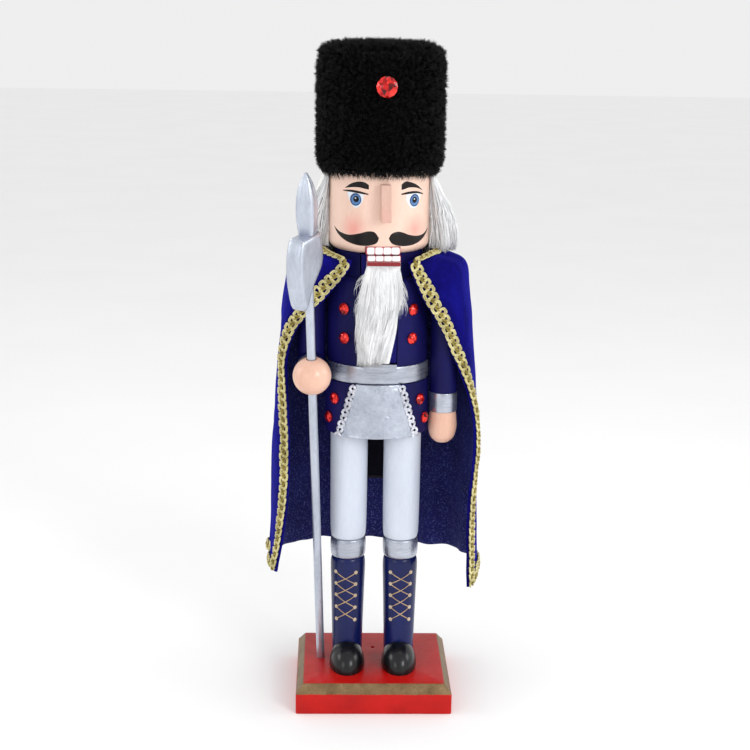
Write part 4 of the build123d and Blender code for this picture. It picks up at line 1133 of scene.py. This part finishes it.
# ================================================================ cape
# The same control grid as the CAD cape: rows from the neckline to the hem, points from the front edge to the back.
RIGHT_HALF = [  # towards +X
    [(16.0, -26.3, 262.5), (22.5, -21.6, 264.4), (28.0, -12.5, 265.2), (30.6, 0, 265.4), (28.8, 13.0, 265.0), (18.5, 25.6, 264.6), (0, 31.6, 264.2)],
    [(17.3, -26.3, 257.0), (26.5, -22.3, 260.5), (37.0, -12.5, 262.3), (42.0, 0, 262.8), (38.0, 17.0, 261.0), (22.0, 31.5, 258.5), (0, 37.5, 257.0)],
    [(21.0, -24.6, 248.0), (33.0, -19.6, 254.4), (44.0, -13.5, 258.2), (49.0, 0, 258.2), (45.5, 20.0, 255.6), (26.0, 37.0, 251.0), (0, 43.0, 248.0)],
    [(26.0, -22.4, 238.0), (37.5, -18.6, 243.5), (47.0, -13.2, 247.5), (51.2, 1.0, 248.0), (48.5, 23.0, 245.0), (28.0, 41.5, 240.0), (0, 47.5, 237.0)],
    [(32.0, -19.0, 228.0), (42.0, -16.6, 231.0), (49.5, -11.5, 234.0), (53.2, 2.0, 235.0), (51.0, 25.5, 232.0), (30.0, 45.5, 227.0), (0, 51.5, 224.0)],
    [(38.5, -16.2, 215.0), (46.0, -14.8, 216.5), (51.8, -9.0, 218.0), (54.8, 4.0, 219.0), (52.5, 27.5, 217.0), (31.0, 48.5, 213.0), (0, 55.0, 210.0)],
    [(45.5, -15.0, 200.0), (51.0, -11.5, 200.5), (55.0, -4.0, 201.0), (56.5, 7.0, 201.0), (54.0, 30.5, 200.0), (32.0, 51.5, 198.0), (0, 58.0, 196.0)],
    [(53.3, -13.5, 180.0), (56.0, -9.5, 180.0), (57.7, -1.0, 180.0), (58.2, 10.0, 180.0), (55.5, 33.5, 180.0), (33.0, 54.5, 179.0), (0, 61.0, 178.0)],
    [(56.7, -15.0, 155.0), (58.5, -9.5, 155.0), (59.3, 0, 155.0), (59.3, 12.0, 155.0), (56.3, 35.5, 155.0), (34.0, 56.5, 155.0), (0, 63.0, 155.0)],
    [(54.5, -17.0, 128.0), (57.7, -11.0, 128.0), (59.3, 0, 128.0), (59.8, 14.0, 128.0), (56.7, 37.5, 128.0), (34.5, 58.0, 128.0), (0, 64.5, 128.0)],
    [(53.7, -19.0, 100.0), (57.7, -12.0, 100.0), (59.8, 0, 100.5), (60.3, 15.0, 100.5), (57.2, 38.5, 100.0), (35.0, 59.5, 100.0), (0, 65.5, 100.0)],
    [(54.5, -20.0, 70.5), (58.4, -12.5, 71.2), (60.4, 0, 72.5), (60.8, 15.0, 73.0), (57.6, 39.5, 70.5), (35.5, 60.5, 68.5), (0, 66.5, 70.0)],
]
LEFT_HALF = [[(-x, y, z) for x, y, z in row] for row in RIGHT_HALF]  # towards -X, over the arm that holds the halberd
LEFT_HALF[2][:3] = [(-24.0, -24.0, 248.0), (-34.5, -19.6, 254.4), (-44.5, -13.5, 258.0)]
LEFT_HALF[3][:3] = [(-31.5, -20.8, 238.0), (-40.5, -17.4, 243.5), (-47.5, -12.8, 247.5)]
LEFT_HALF[4][:3] = [(-41.0, -17.0, 228.0), (-46.8, -14.6, 231.0), (-51.0, -9.6, 234.0)]
LEFT_HALF[5][:3] = [(-48.8, -13.6, 215.0), (-52.4, -10.6, 216.5), (-54.6, -5.0, 218.0)]
LEFT_HALF[6][:3] = [(-51.6, -12.8, 200.0), (-54.6, -8.8, 200.5), (-56.5, -2.0, 201.0)]
LEFT_HALF[7][:4] = [(-50.8, -12.8, 180.0), (-55.0, -9.0, 180.0), (-57.8, -1.0, 180.0), (-58.7, 10.0, 180.0)]
LEFT_HALF[8][:4] = [(-49.8, -14.4, 155.0), (-55.0, -10.4, 155.0), (-58.7, -1.0, 155.0), (-59.6, 12.0, 155.0)]
LEFT_HALF[9][:3] = [(-50.4, -16.4, 128.0), (-55.6, -12.0, 128.0), (-59.0, -0.8, 128.0)]
LEFT_HALF[11] = [(-57.2, -20.0, 79.5), (-60.2, -12.5, 79.0), (-61.3, 0, 78.0), (-61.3, 15.0, 77.0), (-58.0, 39.5, 73.5), (-35.5, 60.5, 71.0), (0, 66.5, 70.0)]
GRID = np.array([left + right[-2::-1] for left, right in zip(LEFT_HALF, RIGHT_HALF)], float)


def spline(P, t, tq):
    """Natural cubic spline through P at t, along the first axis."""
    n = len(t)
    h = np.diff(t)
    flat = P.reshape(n, -1)
    A = np.zeros((n, n))
    A[0, 0] = A[-1, -1] = 1
    rhs = np.zeros_like(flat)
    for i in range(1, n - 1):
        A[i, i - 1 : i + 2] = h[i - 1], 2 * (h[i - 1] + h[i]), h[i]
        rhs[i] = 6 * ((flat[i + 1] - flat[i]) / h[i] - (flat[i] - flat[i - 1]) / h[i - 1])
    K = np.linalg.solve(A, rhs)
    k = np.clip(np.searchsorted(t, tq, side="right") - 1, 0, n - 2)
    hk = h[k]
    a, b = ((t[k + 1] - tq) / hk)[:, None], ((tq - t[k]) / hk)[:, None]
    out = a * flat[k] + b * flat[k + 1] + ((a**3 - a) * K[k] + (b**3 - b) * K[k + 1]) * (hk**2)[:, None] / 6
    return out.reshape((len(tq),) + P.shape[1:])


def chord(P, axis):
    d = np.linalg.norm(np.diff(P, axis=axis), axis=2)
    m = d.mean(axis=1 - axis)
    return np.concatenate([[0], np.cumsum(m)])


NV, NU = 176, 270
tv, tu = chord(GRID, 0), chord(GRID, 1)
S = spline(GRID, tv, np.linspace(0, tv[-1], NV))
S = spline(S.transpose(1, 0, 2), tu, np.linspace(0, tu[-1], NU)).transpose(1, 0, 2)


def grid_normals(S):
    du = np.gradient(S, axis=1)
    dv = np.gradient(S, axis=0)
    N = np.cross(dv, du)
    N /= np.linalg.norm(N, axis=2, keepdims=True) + 1e-9
    if N[S.shape[0] // 2, S.shape[1] // 2, 1] < 0:
        N = -N
    return N


N0 = grid_normals(S)
vv = np.linspace(0, 1, NV)[:, None]
uu = np.linspace(0, 1, NU)[None, :]
edge = np.clip(np.minimum(uu, 1 - uu) / 0.10, 0, 1)
edge = edge * edge * (3 - 2 * edge)
grow = np.clip((vv - 0.12) / 0.88, 0, 1) ** 0.9
drift = 0.012 * np.sin(3.1 * vv + 1.0)
folds = 1.25 * np.sin(2 * pi * (6.0 * (uu + drift) + 0.1)) + 0.9 * np.sin(2 * pi * (10.0 * (uu - drift) + 0.33)) + 0.45 * np.sin(2 * pi * (17.0 * uu + 0.6 + 0.25 * vv))
back = np.clip((S[..., 1] - 8.0) / 22.0, 0, 1)
disp = folds * grow * edge * (0.35 + 0.95 * back)
disp += noise2(41, (NV, NU), 9, 16) * 0.38 * edge * np.clip(vv * 5, 0, 1)
disp += noise2(42, (NV, NU), 24, 38) * 0.13 * np.clip(vv * 5, 0.15, 1)
# soft sag creases fanning down from the neckline
disp += 0.55 * np.sin(2 * pi * 13 * uu + 0.4) * np.exp(-(((vv - 0.10) / 0.10) ** 2)) * edge
OUTER = S + N0 * disp[..., None]
NORM = grid_normals(OUTER)
CAPE_T = 1.3
outer = OUTER.copy()
inner = OUTER - NORM * CAPE_T
# the pile rolls over the cut edges
r, c = NV, NU
idx = np.arange(r * c).reshape(r, c)
v, g = closed_sheet(outer, inner)
nf = (r - 1) * (c - 1)
ids = np.zeros(len(g[0]), int)
ids[nf : 2 * nf] = 1
# the way round: the outside must face away from the figure
p = v[g[0][nf // 2]]
nn = np.cross(p[1] - p[0], p[2] - p[0])
if nn.dot(NORM.reshape(-1, 3)[idx[r // 2, c // 2]]) < 0:
    g = [g[0][:, ::-1]]
cape = add("cape", v, g, "figure", ["cape"], "cape_velvet", [M["velvet"], M["lining"]], ids)
cape_area = 0.0
quad = OUTER
d1 = quad[1:, 1:] - quad[:-1, :-1]
d2 = quad[1:, :-1] - quad[:-1, 1:]
cape_area = float(np.linalg.norm(np.cross(d1, d2), axis=2).sum() / 2) * 1e-6


class Edge:
    """Places along an edge of the cape: s along it, w into the cloth, h off its outside."""

    def __init__(self, P, N):
        self.P, self.N = P, N
        self.s = np.concatenate([[0], np.cumsum(np.linalg.norm(np.diff(P[:, 0], axis=0), axis=1))])
        self.dw = np.linalg.norm(np.diff(P, axis=1), axis=2).mean(axis=1)

    def at(self, s, w, h):
        i = np.interp(s, self.s, np.arange(len(self.s)))
        i0 = np.clip(i.astype(int), 0, len(self.s) - 2)
        f = (i - i0)[:, None]
        dw = self.dw[i0] * (1 - f[:, 0]) + self.dw[i0 + 1] * f[:, 0]
        j = w / dw
        j0 = np.clip(np.floor(j).astype(int), 0, self.P.shape[1] - 2)
        q = (j - j0)[:, None]

        def pick(G):
            a = G[i0, j0] * (1 - q) + G[i0, j0 + 1] * q
            b = G[i0 + 1, j0] * (1 - q) + G[i0 + 1, j0 + 1] * q
            return a * (1 - f) + b * f

        P, N = pick(self.P), pick(self.N)
        N = N / np.linalg.norm(N, axis=1, keepdims=True)
        return P + N * h[:, None], N


def gimp(name, edge, s0, s1, width, node, pitch=4.7):
    """Scroll gimp: a doubled cord looping out to both sides, and a twisted core laid over the crossings."""
    half = width / 2
    turns = (s1 - s0) / pitch
    n = int(turns * 26)
    th = np.linspace(0, 2 * pi * turns, n)
    A, cc = half - 0.72, pitch * 0.255
    jit = noise1(len(name) * 7, n, turns * 1.7)
    slow = noise1(len(name) * 7 + 1, n, turns * 0.8)
    s = s0 + pitch * th / (2 * pi) - cc * np.sin(2 * th) + 0.10 * slow
    w = half + A * np.sin(th) * (1 + 0.07 * jit) + 0.10 * slow
    h = 0.95 + 0.48 * np.cos(th) + 0.08 * jit
    ds, dw = np.gradient(s), np.gradient(w)
    L = np.sqrt(ds**2 + dw**2) + 1e-9
    made = []
    for off, rad, which in ((-0.38, 0.46, 0), (0.38, 0.44, 0)):
        twist = 0.10 * np.sin(th * 7.0 + off)
        P, N = edge.at(s - dw / L * (off + twist), w + ds / L * (off + twist), h + 0.10 * np.cos(th * 7.0 + off))
        made.append((tube(P, rad, N, 7), which))
    m = int(turns * 20)
    ss = s0 + (s1 - s0) * np.linspace(0, 1, m)
    for k in range(2):
        ph = 2 * pi * (ss - s0) / pitch + pi * k + 0.9
        P, N = edge.at(ss, half + 0.62 * np.sin(ph), 1.12 + 0.42 * np.cos(ph))
        made.append((tube(P, 0.54, N, 7), 1))
    v, g = join([a for a, b in made])
    ids = []
    for x in g:
        k = x.shape[1]
        ids.append(np.concatenate([np.full(sum(len(y) for y in a[1] if y.shape[1] == k), b) for a, b in made]))
    return add(name, v, g, "figure", [node], "gold_braid", [M["cream"], M["gold"]], np.concatenate(ids))


K = 26
e_left = Edge(OUTER[:, :K], NORM[:, :K])  # -X front edge
e_right = Edge(OUTER[:, ::-1][:, :K], NORM[:, ::-1][:, :K])
e_hem = Edge(OUTER[::-1].transpose(1, 0, 2)[:, :K], NORM[::-1].transpose(1, 0, 2)[:, :K])
e_neck = Edge(OUTER.transpose(1, 0, 2)[:, :K], NORM.transpose(1, 0, 2)[:, :K])
W = 6.5
braids = [
    gimp("cape_braid_left", e_right, 0.6, e_right.s[-1] - 0.4, W, "cape_braid_left"),
    gimp("cape_braid_right", e_left, 0.6, e_left.s[-1] - 0.4, W, "cape_braid_right"),
    gimp("cape_braid_hem", e_hem, 6.4, e_hem.s[-1] - 6.4, W, "cape_braid_hem"),
    gimp("cape_braid_neck", e_neck, 4.8, e_neck.s[-1] - 4.8, 4.0, "cape_braid_neck", 3.4),
]

# ================================================================ black fur hat
JEWEL_CLEAR = r_hat_jewel + 0.1
HAT = [(29.8, 309.5), (31.4, 310.0), (33.2, 312.0), (34.2, 315.5), (34.5, 330.0), (34.4, 350.0), (34.3, 364.0), (33.6, 369.4), (31.6, 373.2), (28.0, 375.6), (15.0, 376.2), (0.02, 376.5)]
hp = smooth_curve(HAT, 6)
hp[:, 0] -= 1.7
hp[:, 1] = np.where(hp[:, 1] > 360, hp[:, 1] - 0.5, hp[:, 1] + 0.9)
hp = np.concatenate([[(28.4, 312.0), (29.3, 310.8)], hp])
hp[:, 0] = np.maximum(hp[:, 0], 0.02)
seg = 160
th = np.linspace(0, 2 * pi, seg, endpoint=False)
R = hp[:, 0:1] + noise2(51, (len(hp), seg), 12, 60) * 0.0
lump = noise2(52, (len(hp), seg), 10, 34)
lump[:, -8:] = lump[:, -8:] * np.linspace(1, 0, 8) + lump[:, :8] * np.linspace(0, 1, 8)
keep = np.clip(hp[:, 0:1] / 8, 0, 1)
R = R + lump * 0.35 * keep
P = np.stack([R * np.cos(th), R * np.sin(th), np.repeat(hp[:, 1:2], seg, 1)], -1)
add("hat_backing", *rings(P), "figure", ["hat_fur"], "black_fur", [M["black_skin"]])


def hat_strands(name, n, zone, seed):
    g = np.random.default_rng(seed)
    if zone == "top":
        r = 33.0 * np.sqrt(g.random(n))
        a = g.random(n) * 2 * pi
        root = np.column_stack([r * np.cos(a), r * np.sin(a), np.full(n, 375.6) + 0.5 * (1 - (r / 33) ** 2) - 4.2 * np.clip((r - 25) / 8, 0, 1) ** 2])
        out = np.column_stack([np.cos(a) * np.clip(r / 34, 0, 1) ** 3 * 1.2, np.sin(a) * np.clip(r / 34, 0, 1) ** 3 * 1.2, np.ones(n)])
    else:
        a0, a1 = zone
        a = a0 + (a1 - a0) * g.random(n)
        z = 309.6 + 64.4 * g.random(n)
        r = 32.4 - 3.6 * np.clip((z - 365.7) / 8, 0, 1) ** 2.2 - 2.6 * np.clip((315.5 - z) / 5, 0, 1) ** 1.6
        root = np.column_stack([r * np.cos(a), r * np.sin(a), z])
        out = np.column_stack([np.cos(a), np.sin(a), 0.9 * np.clip((z - 362) / 10, 0, 1) - 0.35 * np.clip((318 - z) / 8, 0, 1)])
    out /= np.linalg.norm(out, axis=1, keepdims=True)
    # clumps: neighbours lean the same way
    cn = 800
    cc = root[g.integers(0, n, cn)]
    lean = g.standard_normal((cn, 3)) * 0.5
    lean[:, 2] -= 0.35
    near = np.zeros(n, int)
    for i in range(0, n, 2000):
        d = ((root[i : i + 2000, None] - cc[None]) ** 2).sum(-1)
        near[i : i + 2000] = d.argmin(1)
    lean = lean[near] + g.standard_normal((n, 3)) * 0.28
    pull = (cc[near] - root)
    length = 3.1 + 1.1 * g.random(n) + 0.5 * g.standard_normal(cn)[near]
    length = np.clip(length, 2.2, 5.0)
    d1 = out + lean * 0.35
    d1 /= np.linalg.norm(d1, axis=1, keepdims=True)
    d2 = out + lean * 0.95
    d2 /= np.linalg.norm(d2, axis=1, keepdims=True)
    C = np.zeros((n, 4, 3))
    C[:, 0] = root - out * 0.4
    C[:, 1] = root + d1 * length[:, None] * 0.4 + pull * 0.18
    C[:, 2] = C[:, 1] + (d1 + d2) / 2 * length[:, None] * 0.34 + pull * 0.22
    C[:, 3] = C[:, 2] + d2 * length[:, None] * 0.32 + pull * 0.12
    rr = np.stack([np.full(n, 0.15), np.full(n, 0.13), np.full(n, 0.085)], 1) * (0.8 + 0.5 * g.random(n))[:, None]
    # keep clear of the jewel on the front
    jd = np.linalg.norm(C[:, 3] - HAT_JEWEL, axis=1)
    ok = (jd > JEWEL_CLEAR) | (C[:, 3, 1] > 0)
    C, rr = C[ok], rr[ok]
    return add(name, *strands(C, rr, seed), "figure", (), "black_fur", [M["black_fur"]], smooth=True)


F = -pi / 2
P5 = 2 * pi / 5
for k, word in enumerate(("front", "left", "back_left", "back_right", "right")):
    hat_strands(f"hat_fur_{word}", 9900, (F - P5 / 2 + P5 * k, F + P5 / 2 + P5 * k), 61 + 10 * k)
hat_strands("hat_fur_top", 9900, "top", 64)


def brim_wisps():
    """Longer dark hairs that hang over the forehead and the sides of the face."""
    g = np.random.default_rng(65)
    n = 1700
    a = F + np.radians(g.uniform(-180, 180, n))
    r0 = 31.5 + 1.5 * g.random(n)
    z0 = 310.4 + g.random(n) * 1.2
    L = 2.0 + 3.2 * g.random(n) ** 2
    side = np.abs(((a - F + pi) % (2 * pi)) - pi)
    L += 2.4 * np.exp(-((side - 0.95) / 0.22) ** 2) * g.random(n)
    C = np.zeros((n, 5, 3))
    da = g.standard_normal(n) * 0.05
    for k, t in enumerate(np.linspace(0, 1, 5)):
        r = r0 - 1.2 * t * t
        aa = a + da * t
        C[:, k] = np.column_stack([r * np.cos(aa), r * np.sin(aa), z0 - L * t])
    rr = np.repeat(np.array([[0.16, 0.15, 0.12, 0.08]]), n, 0)
    return add("hat_brim_wisps", *strands(C, rr, 66), "figure", (), "black_fur", [M["black_fur"]])


brim_wisps()

# ================================================================ white hair
HAIR_FRONT = math.radians(79)


def hair_profile(z, out):
    """Outer radius of the hair at height z; out is not used."""
    zs = np.array([256.0, 260.0, 266.0, 272.0, 280.0, 290.0, 300.0, 306.0, 311.0])
    rs = np.array([38.0, 41.0, 43.2, 43.8, 43.0, 40.4, 36.8, 33.8, 31.2])
    return np.interp(z, zs, rs)


def hair_mass():
    nz, na = 46, 150
    z = np.linspace(266.8, 309.0, nz)
    a = np.linspace(HAIR_FRONT + 0.05, 2 * pi - HAIR_FRONT - 0.05, na)
    taper = np.clip(np.minimum(a - a[0], a[-1] - a) / 0.16, 0.0, 1) ** 0.5
    ro = hair_profile(z, 0)[:, None] - 3.0
    ro = 28.4 + (ro - 28.4) * taper[None, :] * (np.clip((z - 266.0) / 3.0, 0.25, 1)[:, None] ** 0.5)
    ro = ro + (noise2(71, (nz, na), 3, 60) * 0.45 + noise2(72, (nz, na), 6, 110) * 0.2) * taper[None, :]
    ro = np.maximum(ro, 28.5)
    A = a[None, :] + F
    out = np.stack([ro * np.cos(A), ro * np.sin(A), np.repeat(z[:, None], na, 1)], -1)
    ri = np.full_like(ro, 28.15)
    inn = np.stack([ri * np.cos(A), ri * np.sin(A), np.repeat(z[:, None], na, 1)], -1)
    return closed_sheet(out, inn)


v, g = hair_mass()
add("hair_backing", v, [g[0][:, ::-1]], "figure", ["hair"], "white_fur", [M["white_skin"]])


# the height of the cape's shoulders, so that the hair lies on them
top_v = np.concatenate([OUTER[:70].reshape(-1, 3)])
CELL = 1.0
HM = np.full((140, 140), 0.0)
gi = np.clip(((top_v[:, 0] + 70) / CELL).astype(int), 0, 139)
gj = np.clip(((top_v[:, 1] + 70) / CELL).astype(int), 0, 139)
np.maximum.at(HM, (gi, gj), top_v[:, 2])
for _ in range(2):
    fillm = HM.copy()
    for dx, dy in ((1, 0), (-1, 0), (0, 1), (0, -1)):
        fillm = np.maximum(fillm, np.where(HM > 0, 0, np.roll(HM, (dx, dy), (0, 1))))
    HM = fillm


def on_cape(C, clear):
    """Lifts points that would fall through the cape."""
    i = np.clip(((C[..., 0] + 70) / CELL).astype(int), 0, 139)
    j = np.clip(((C[..., 1] + 70) / CELL).astype(int), 0, 139)
    low = HM[i, j]
    need = np.where(low > 200, low + clear, 0)
    C[..., 2] = np.maximum(C[..., 2], need)
    return C


def hair(name, n, a0, a1, seed):
    g = np.random.default_rng(seed)
    nc = max(40, n // 26)
    ca = a0 + (a1 - a0) * g.random(nc)
    cdrift = g.standard_normal(nc) * 0.07
    cwave = g.random(nc) * 2 * pi
    cend = 251.5 + 9.0 * g.random(nc)
    cout = g.random(nc)
    k = 9
    pick = g.integers(0, nc, n)
    a = ca[pick] + g.standard_normal(n) * 0.035
    q = np.clip(cout[pick] + g.standard_normal(n) * 0.16, 0.05, 1.06)
    z0 = 309.8 - 22.0 * g.random(n) ** 2.2 * (1 - q * 0.5)
    z1 = cend[pick] + g.standard_normal(n) * 2.0
    lim = np.minimum(a - HAIR_FRONT, 2 * pi - HAIR_FRONT - a)
    frontal = np.clip(lim / 0.22, 0.5, 1.0)
    w1, w2 = g.random(n) * 2 * pi, g.random(n) * 2 * pi
    C = np.zeros((n, k, 3))
    for i, t in enumerate(np.linspace(0, 1, k)):
        z = z0 + (z1 - z0) * t
        R = hair_profile(z, 0)
        spread = np.sin(np.clip(t * 1.5, 0, 1) * pi / 2)
        r = 28.5 + (R - 28.5) * q * (0.25 + 0.75 * spread) * (0.45 + 0.55 * frontal)
        r += (0.5 * np.sin(cwave[pick] + 7.0 * t) + 0.5 * np.sin(w1 + 10.0 * t)) * spread
        aa = a + cdrift[pick] * t + 0.028 * np.sin(cwave[pick] * 2 + 5.5 * t) + g.standard_normal(n) * 0.006 * t
        aa += 0.018 * np.sin(w2 + 9.0 * t) * spread
        aa += 0.10 * t * np.sign(a - pi) * -1 * (1 - frontal)
        A = aa + F
        C[:, i] = np.column_stack([r * np.cos(A), r * np.sin(A), z])
    C = on_cape(C, 0.6 + 1.8 * g.random(n)[:, None])
    taper = np.array([0.8, 1.0, 1.05, 1.0, 0.95, 0.85, 0.7, 0.45])
    rr = 0.17 * taper[None, :] * (0.75 + 0.6 * g.random(n))[:, None]
    return add(name, *strands(C, rr, seed + 1), "figure", (), "white_fur", [M["white_fur"]])


hair("hair_left", 3950, HAIR_FRONT, HAIR_FRONT + 1.45, 81)
hair("hair_back", 3950, HAIR_FRONT + 1.35, 2 * pi - HAIR_FRONT - 1.35, 83)
hair("hair_right", 3950, 2 * pi - HAIR_FRONT - 1.45, 2 * pi - HAIR_FRONT, 85)


# ================================================================ beard
def beard_mass():
    nz, nx = 44, 30
    t = np.linspace(0, 1, nz)
    z = 259.3 - 42.0 * t
    xl = np.interp(z, [217, 222, 233, 245, 256, 260], [-7.5, -8.2, -8.4, -8.8, -7.4, -6.9])
    xr = np.interp(z, [217, 222, 233, 245, 256, 260], [2.2, 5.6, 8.4, 10.2, 10.4, 10.6])
    u = np.linspace(0, 1, nx)[None, :]
    X = xl[:, None] * (1 - u) + xr[:, None] * u
    thick = np.interp(z, [217, 222, 235, 250, 257, 260], [0.5, 1.8, 3.0, 3.0, 1.7, 0.5])[:, None]
    bulge = thick * (np.clip(1 - (2 * u - 1) ** 2, 0, 1) ** 0.5)
    bulge = bulge + (noise2(91, (nz, nx), 5, 12) * 0.35 + noise2(92, (nz, nx), 8, 24) * 0.15) * np.clip(bulge / 2, 0, 1)
    top = np.stack([X, -27.45 - bulge, np.repeat(z[:, None], nx, 1)], -1)
    bot = np.stack([X, np.full_like(X, -27.1), np.repeat(z[:, None], nx, 1)], -1)
    return closed_sheet(top, bot)


v, g = beard_mass()
add("beard_backing", v, g, "jaw", ["beard"], "white_fur", [M["white_skin"]])


def beard_strands(name, n, seed):
    g = np.random.default_rng(seed)
    nc = 150
    cu = g.random(nc)
    cz = 259.4 - 31.0 * g.random(nc) ** 1.25
    cl = 19.0 + 18.0 * g.random(nc)
    cd = g.standard_normal(nc)
    cy = g.random(nc)
    pick = g.integers(0, nc, n)
    u = np.clip(cu[pick] + g.standard_normal(n) * 0.035, 0, 1)
    z0 = cz[pick] + g.standard_normal(n) * 1.3
    z0 = np.clip(z0, 225.0, 259.6)
    xl = np.interp(z0, [217, 233, 245, 256, 260], [-6.2, -7.2, -7.8, -7.0, -6.6])
    xr = np.interp(z0, [217, 233, 245, 256, 260], [3.4, 8.2, 9.6, 10.0, 10.2])
    x0 = xl + (xr - xl) * u
    L = cl[pick] * (0.85 + 0.4 * g.random(n))
    L = np.minimum(L, (z0 - 202.5) * 0.98)
    k = 9
    C = np.zeros((n, k, 3))
    side = (u - 0.5) * 2
    for i, t in enumerate(np.linspace(0, 1, k)):
        z = z0 - L * (t ** 1.05)
        bulge = np.interp(z, [205, 212, 222, 235, 250, 257, 261], [2.2, 2.8, 3.6, 4.2, 4.0, 2.6, 1.0])
        lift = 0.2 + bulge * (0.25 + 0.85 * cy[pick]) * np.sin(np.clip(t * 1.6 + 0.1, 0, 1) * pi / 2)
        body = np.interp(z, [217, 222, 235, 250, 257, 260], [0.5, 1.8, 3.0, 3.0, 1.7, 0.5]) * np.sqrt(np.clip(1 - side**2, 0, 1))
        lift = np.maximum(lift, body + 0.12 + 0.75 * cy[pick] * np.clip(0.15 + 4 * t, 0, 1))
        edge_fall = np.clip(1 - np.abs(side) ** 3 * 0.75, 0.2, 1)
        sweep = -3.6 * t * t * (z < 240) * np.clip((240 - z) / 22, 0, 1)
        fan = side * (2.6 * np.sin(t * pi * 0.85) + 0.4)
        curl = 0.55 * np.sin(4.2 * t + cd[pick] * 3) * t
        x = x0 + fan + sweep + curl + cd[pick] * 1.1 * t
        narrow = np.clip((232 - z) / 24, 0, 1)
        x = x * (1 - 0.34 * narrow) - 2.2 * narrow
        x = np.minimum(x, np.interp(z, [203, 217, 232, 242], [4.6, 6.4, 9.2, 12.5]) + 0.5 * cy[pick])
        C[:, i] = np.column_stack([x, -27.5 - lift * edge_fall, z])
    taper = np.array([0.9, 1.0, 1.05, 1.0, 0.9, 0.78, 0.6, 0.36])
    rr = 0.155 * taper[None, :] * (0.7 + 0.6 * g.random(n))[:, None]
    return add(name, *strands(C, rr, seed + 1), "jaw", (), "white_fur", [M["white_fur"]])


beard_strands("beard", 3300, 95)
beard_strands("beard_under", 3300, 195)


def fly_away():
    """Loose hairs standing out from both sides of the beard."""
    g = np.random.default_rng(99)
    n = 240
    s = np.where(g.random(n) < 0.5, -1.0, 1.0)
    z0 = 257.0 - np.where(s < 0, 34.0, 12.0) * g.random(n)
    x0 = np.where(s < 0, -7.0, 8.6)
    L = 7.0 + 9.0 * g.random(n)
    out = 1.5 + 5.5 * g.random(n) ** 1.6
    C = np.zeros((n, 7, 3))
    ph = g.random(n) * 6
    for i, t in enumerate(np.linspace(0, 1, 7)):
        x = x0 + s * out * np.sin(t * pi * 0.62) + 0.4 * np.sin(ph + 4 * t)
        C[:, i] = np.column_stack([x, -27.9 - 1.6 * np.sin(t * 2.4) * g.random(n), z0 - L * t])
    rr = np.repeat(np.array([[0.10, 0.10, 0.10, 0.09, 0.08, 0.05]]), n, 0)
    return add("beard_wisps", *strands(C, rr, 100), "jaw", (), "white_fur", [M["white_fur"]])


fly_away()

# ================================================================ floor, light and camera
me = bpy.data.meshes.new("floor")
q = 6.0
me.from_pydata([(-q, -q, 0), (q, -q, 0), (q, q, 0), (-q, q, 0)], [], [(0, 1, 2, 3)])
me.materials.append(floor_material().m)
floor = bpy.data.objects.new("floor", me)
bpy.context.scene.collection.objects.link(floor)

world = bpy.data.worlds.new("studio")
world.use_nodes = True
bg = world.node_tree.nodes["Background"]
bg.inputs[0].default_value = (1.0, 1.0, 1.0, 1)
bg.inputs[1].default_value = 0.86
bpy.context.scene.world = world


def area_light(name, at, to, size, power, color=(1, 1, 1), size_y=None):
    d = bpy.data.lights.new(name, "AREA")
    d.energy = power
    d.size = size
    if size_y:
        d.shape = "RECTANGLE"
        d.size_y = size_y
    d.color = color
    o = bpy.data.objects.new(name, d)
    o.location = at
    o.rotation_euler = (Vector(to) - Vector(at)).to_track_quat("-Z", "Y").to_euler()
    bpy.context.scene.collection.objects.link(o)
    return o


area_light("key", (0.66, -0.95, 0.62), (0, 0, 0.2), 0.4, 4.8)
area_light("fill", (-0.75, -0.95, 0.45), (0, 0, 0.2), 0.5, 1.4)
area_light("top", (0.0, 0.1, 1.3), (0, 0, 0.2), 0.6, 1.0)
area_light("side_left", (0.95, 0.0, 0.55), (0, 0, 0.25), 0.35, 1.5)
area_light("side_right", (-0.95, 0.0, 0.55), (0, 0, 0.25), 0.35, 1.5)

cam_data = bpy.data.cameras.new("camera")
cam_data.lens = 72.0
cam_data.sensor_width = 36.0
cam_data.clip_start = 0.01
cam_data.clip_end = 50
cam = bpy.data.objects.new("camera", cam_data)
bpy.context.scene.collection.objects.link(cam)
a, t, r = math.radians(-1.70), math.radians(14.0), math.radians(0.87)
backv = Vector((math.sin(a) * math.cos(t), -math.cos(a) * math.cos(t), math.sin(t)))
fwd = -backv
right = fwd.cross(Vector((0, 0, 1))).normalized()
up = right.cross(fwd)
r2 = right * math.cos(r) + up * math.sin(r)
u2 = -right * math.sin(r) + up * math.cos(r)
at = Vector((math.sin(a) * 832.9, -math.cos(a) * 832.9, 399.5)) + right * -0.95
at *= MM
cam.matrix_world = Matrix(((r2.x, u2.x, backv.x, at.x), (r2.y, u2.y, backv.y, at.y), (r2.z, u2.z, backv.z, at.z), (0, 0, 0, 1)))
bpy.context.scene.camera = cam
bpy.context.scene.view_settings.view_transform = "Standard"
bpy.context.scene.view_settings.exposure = 0.0
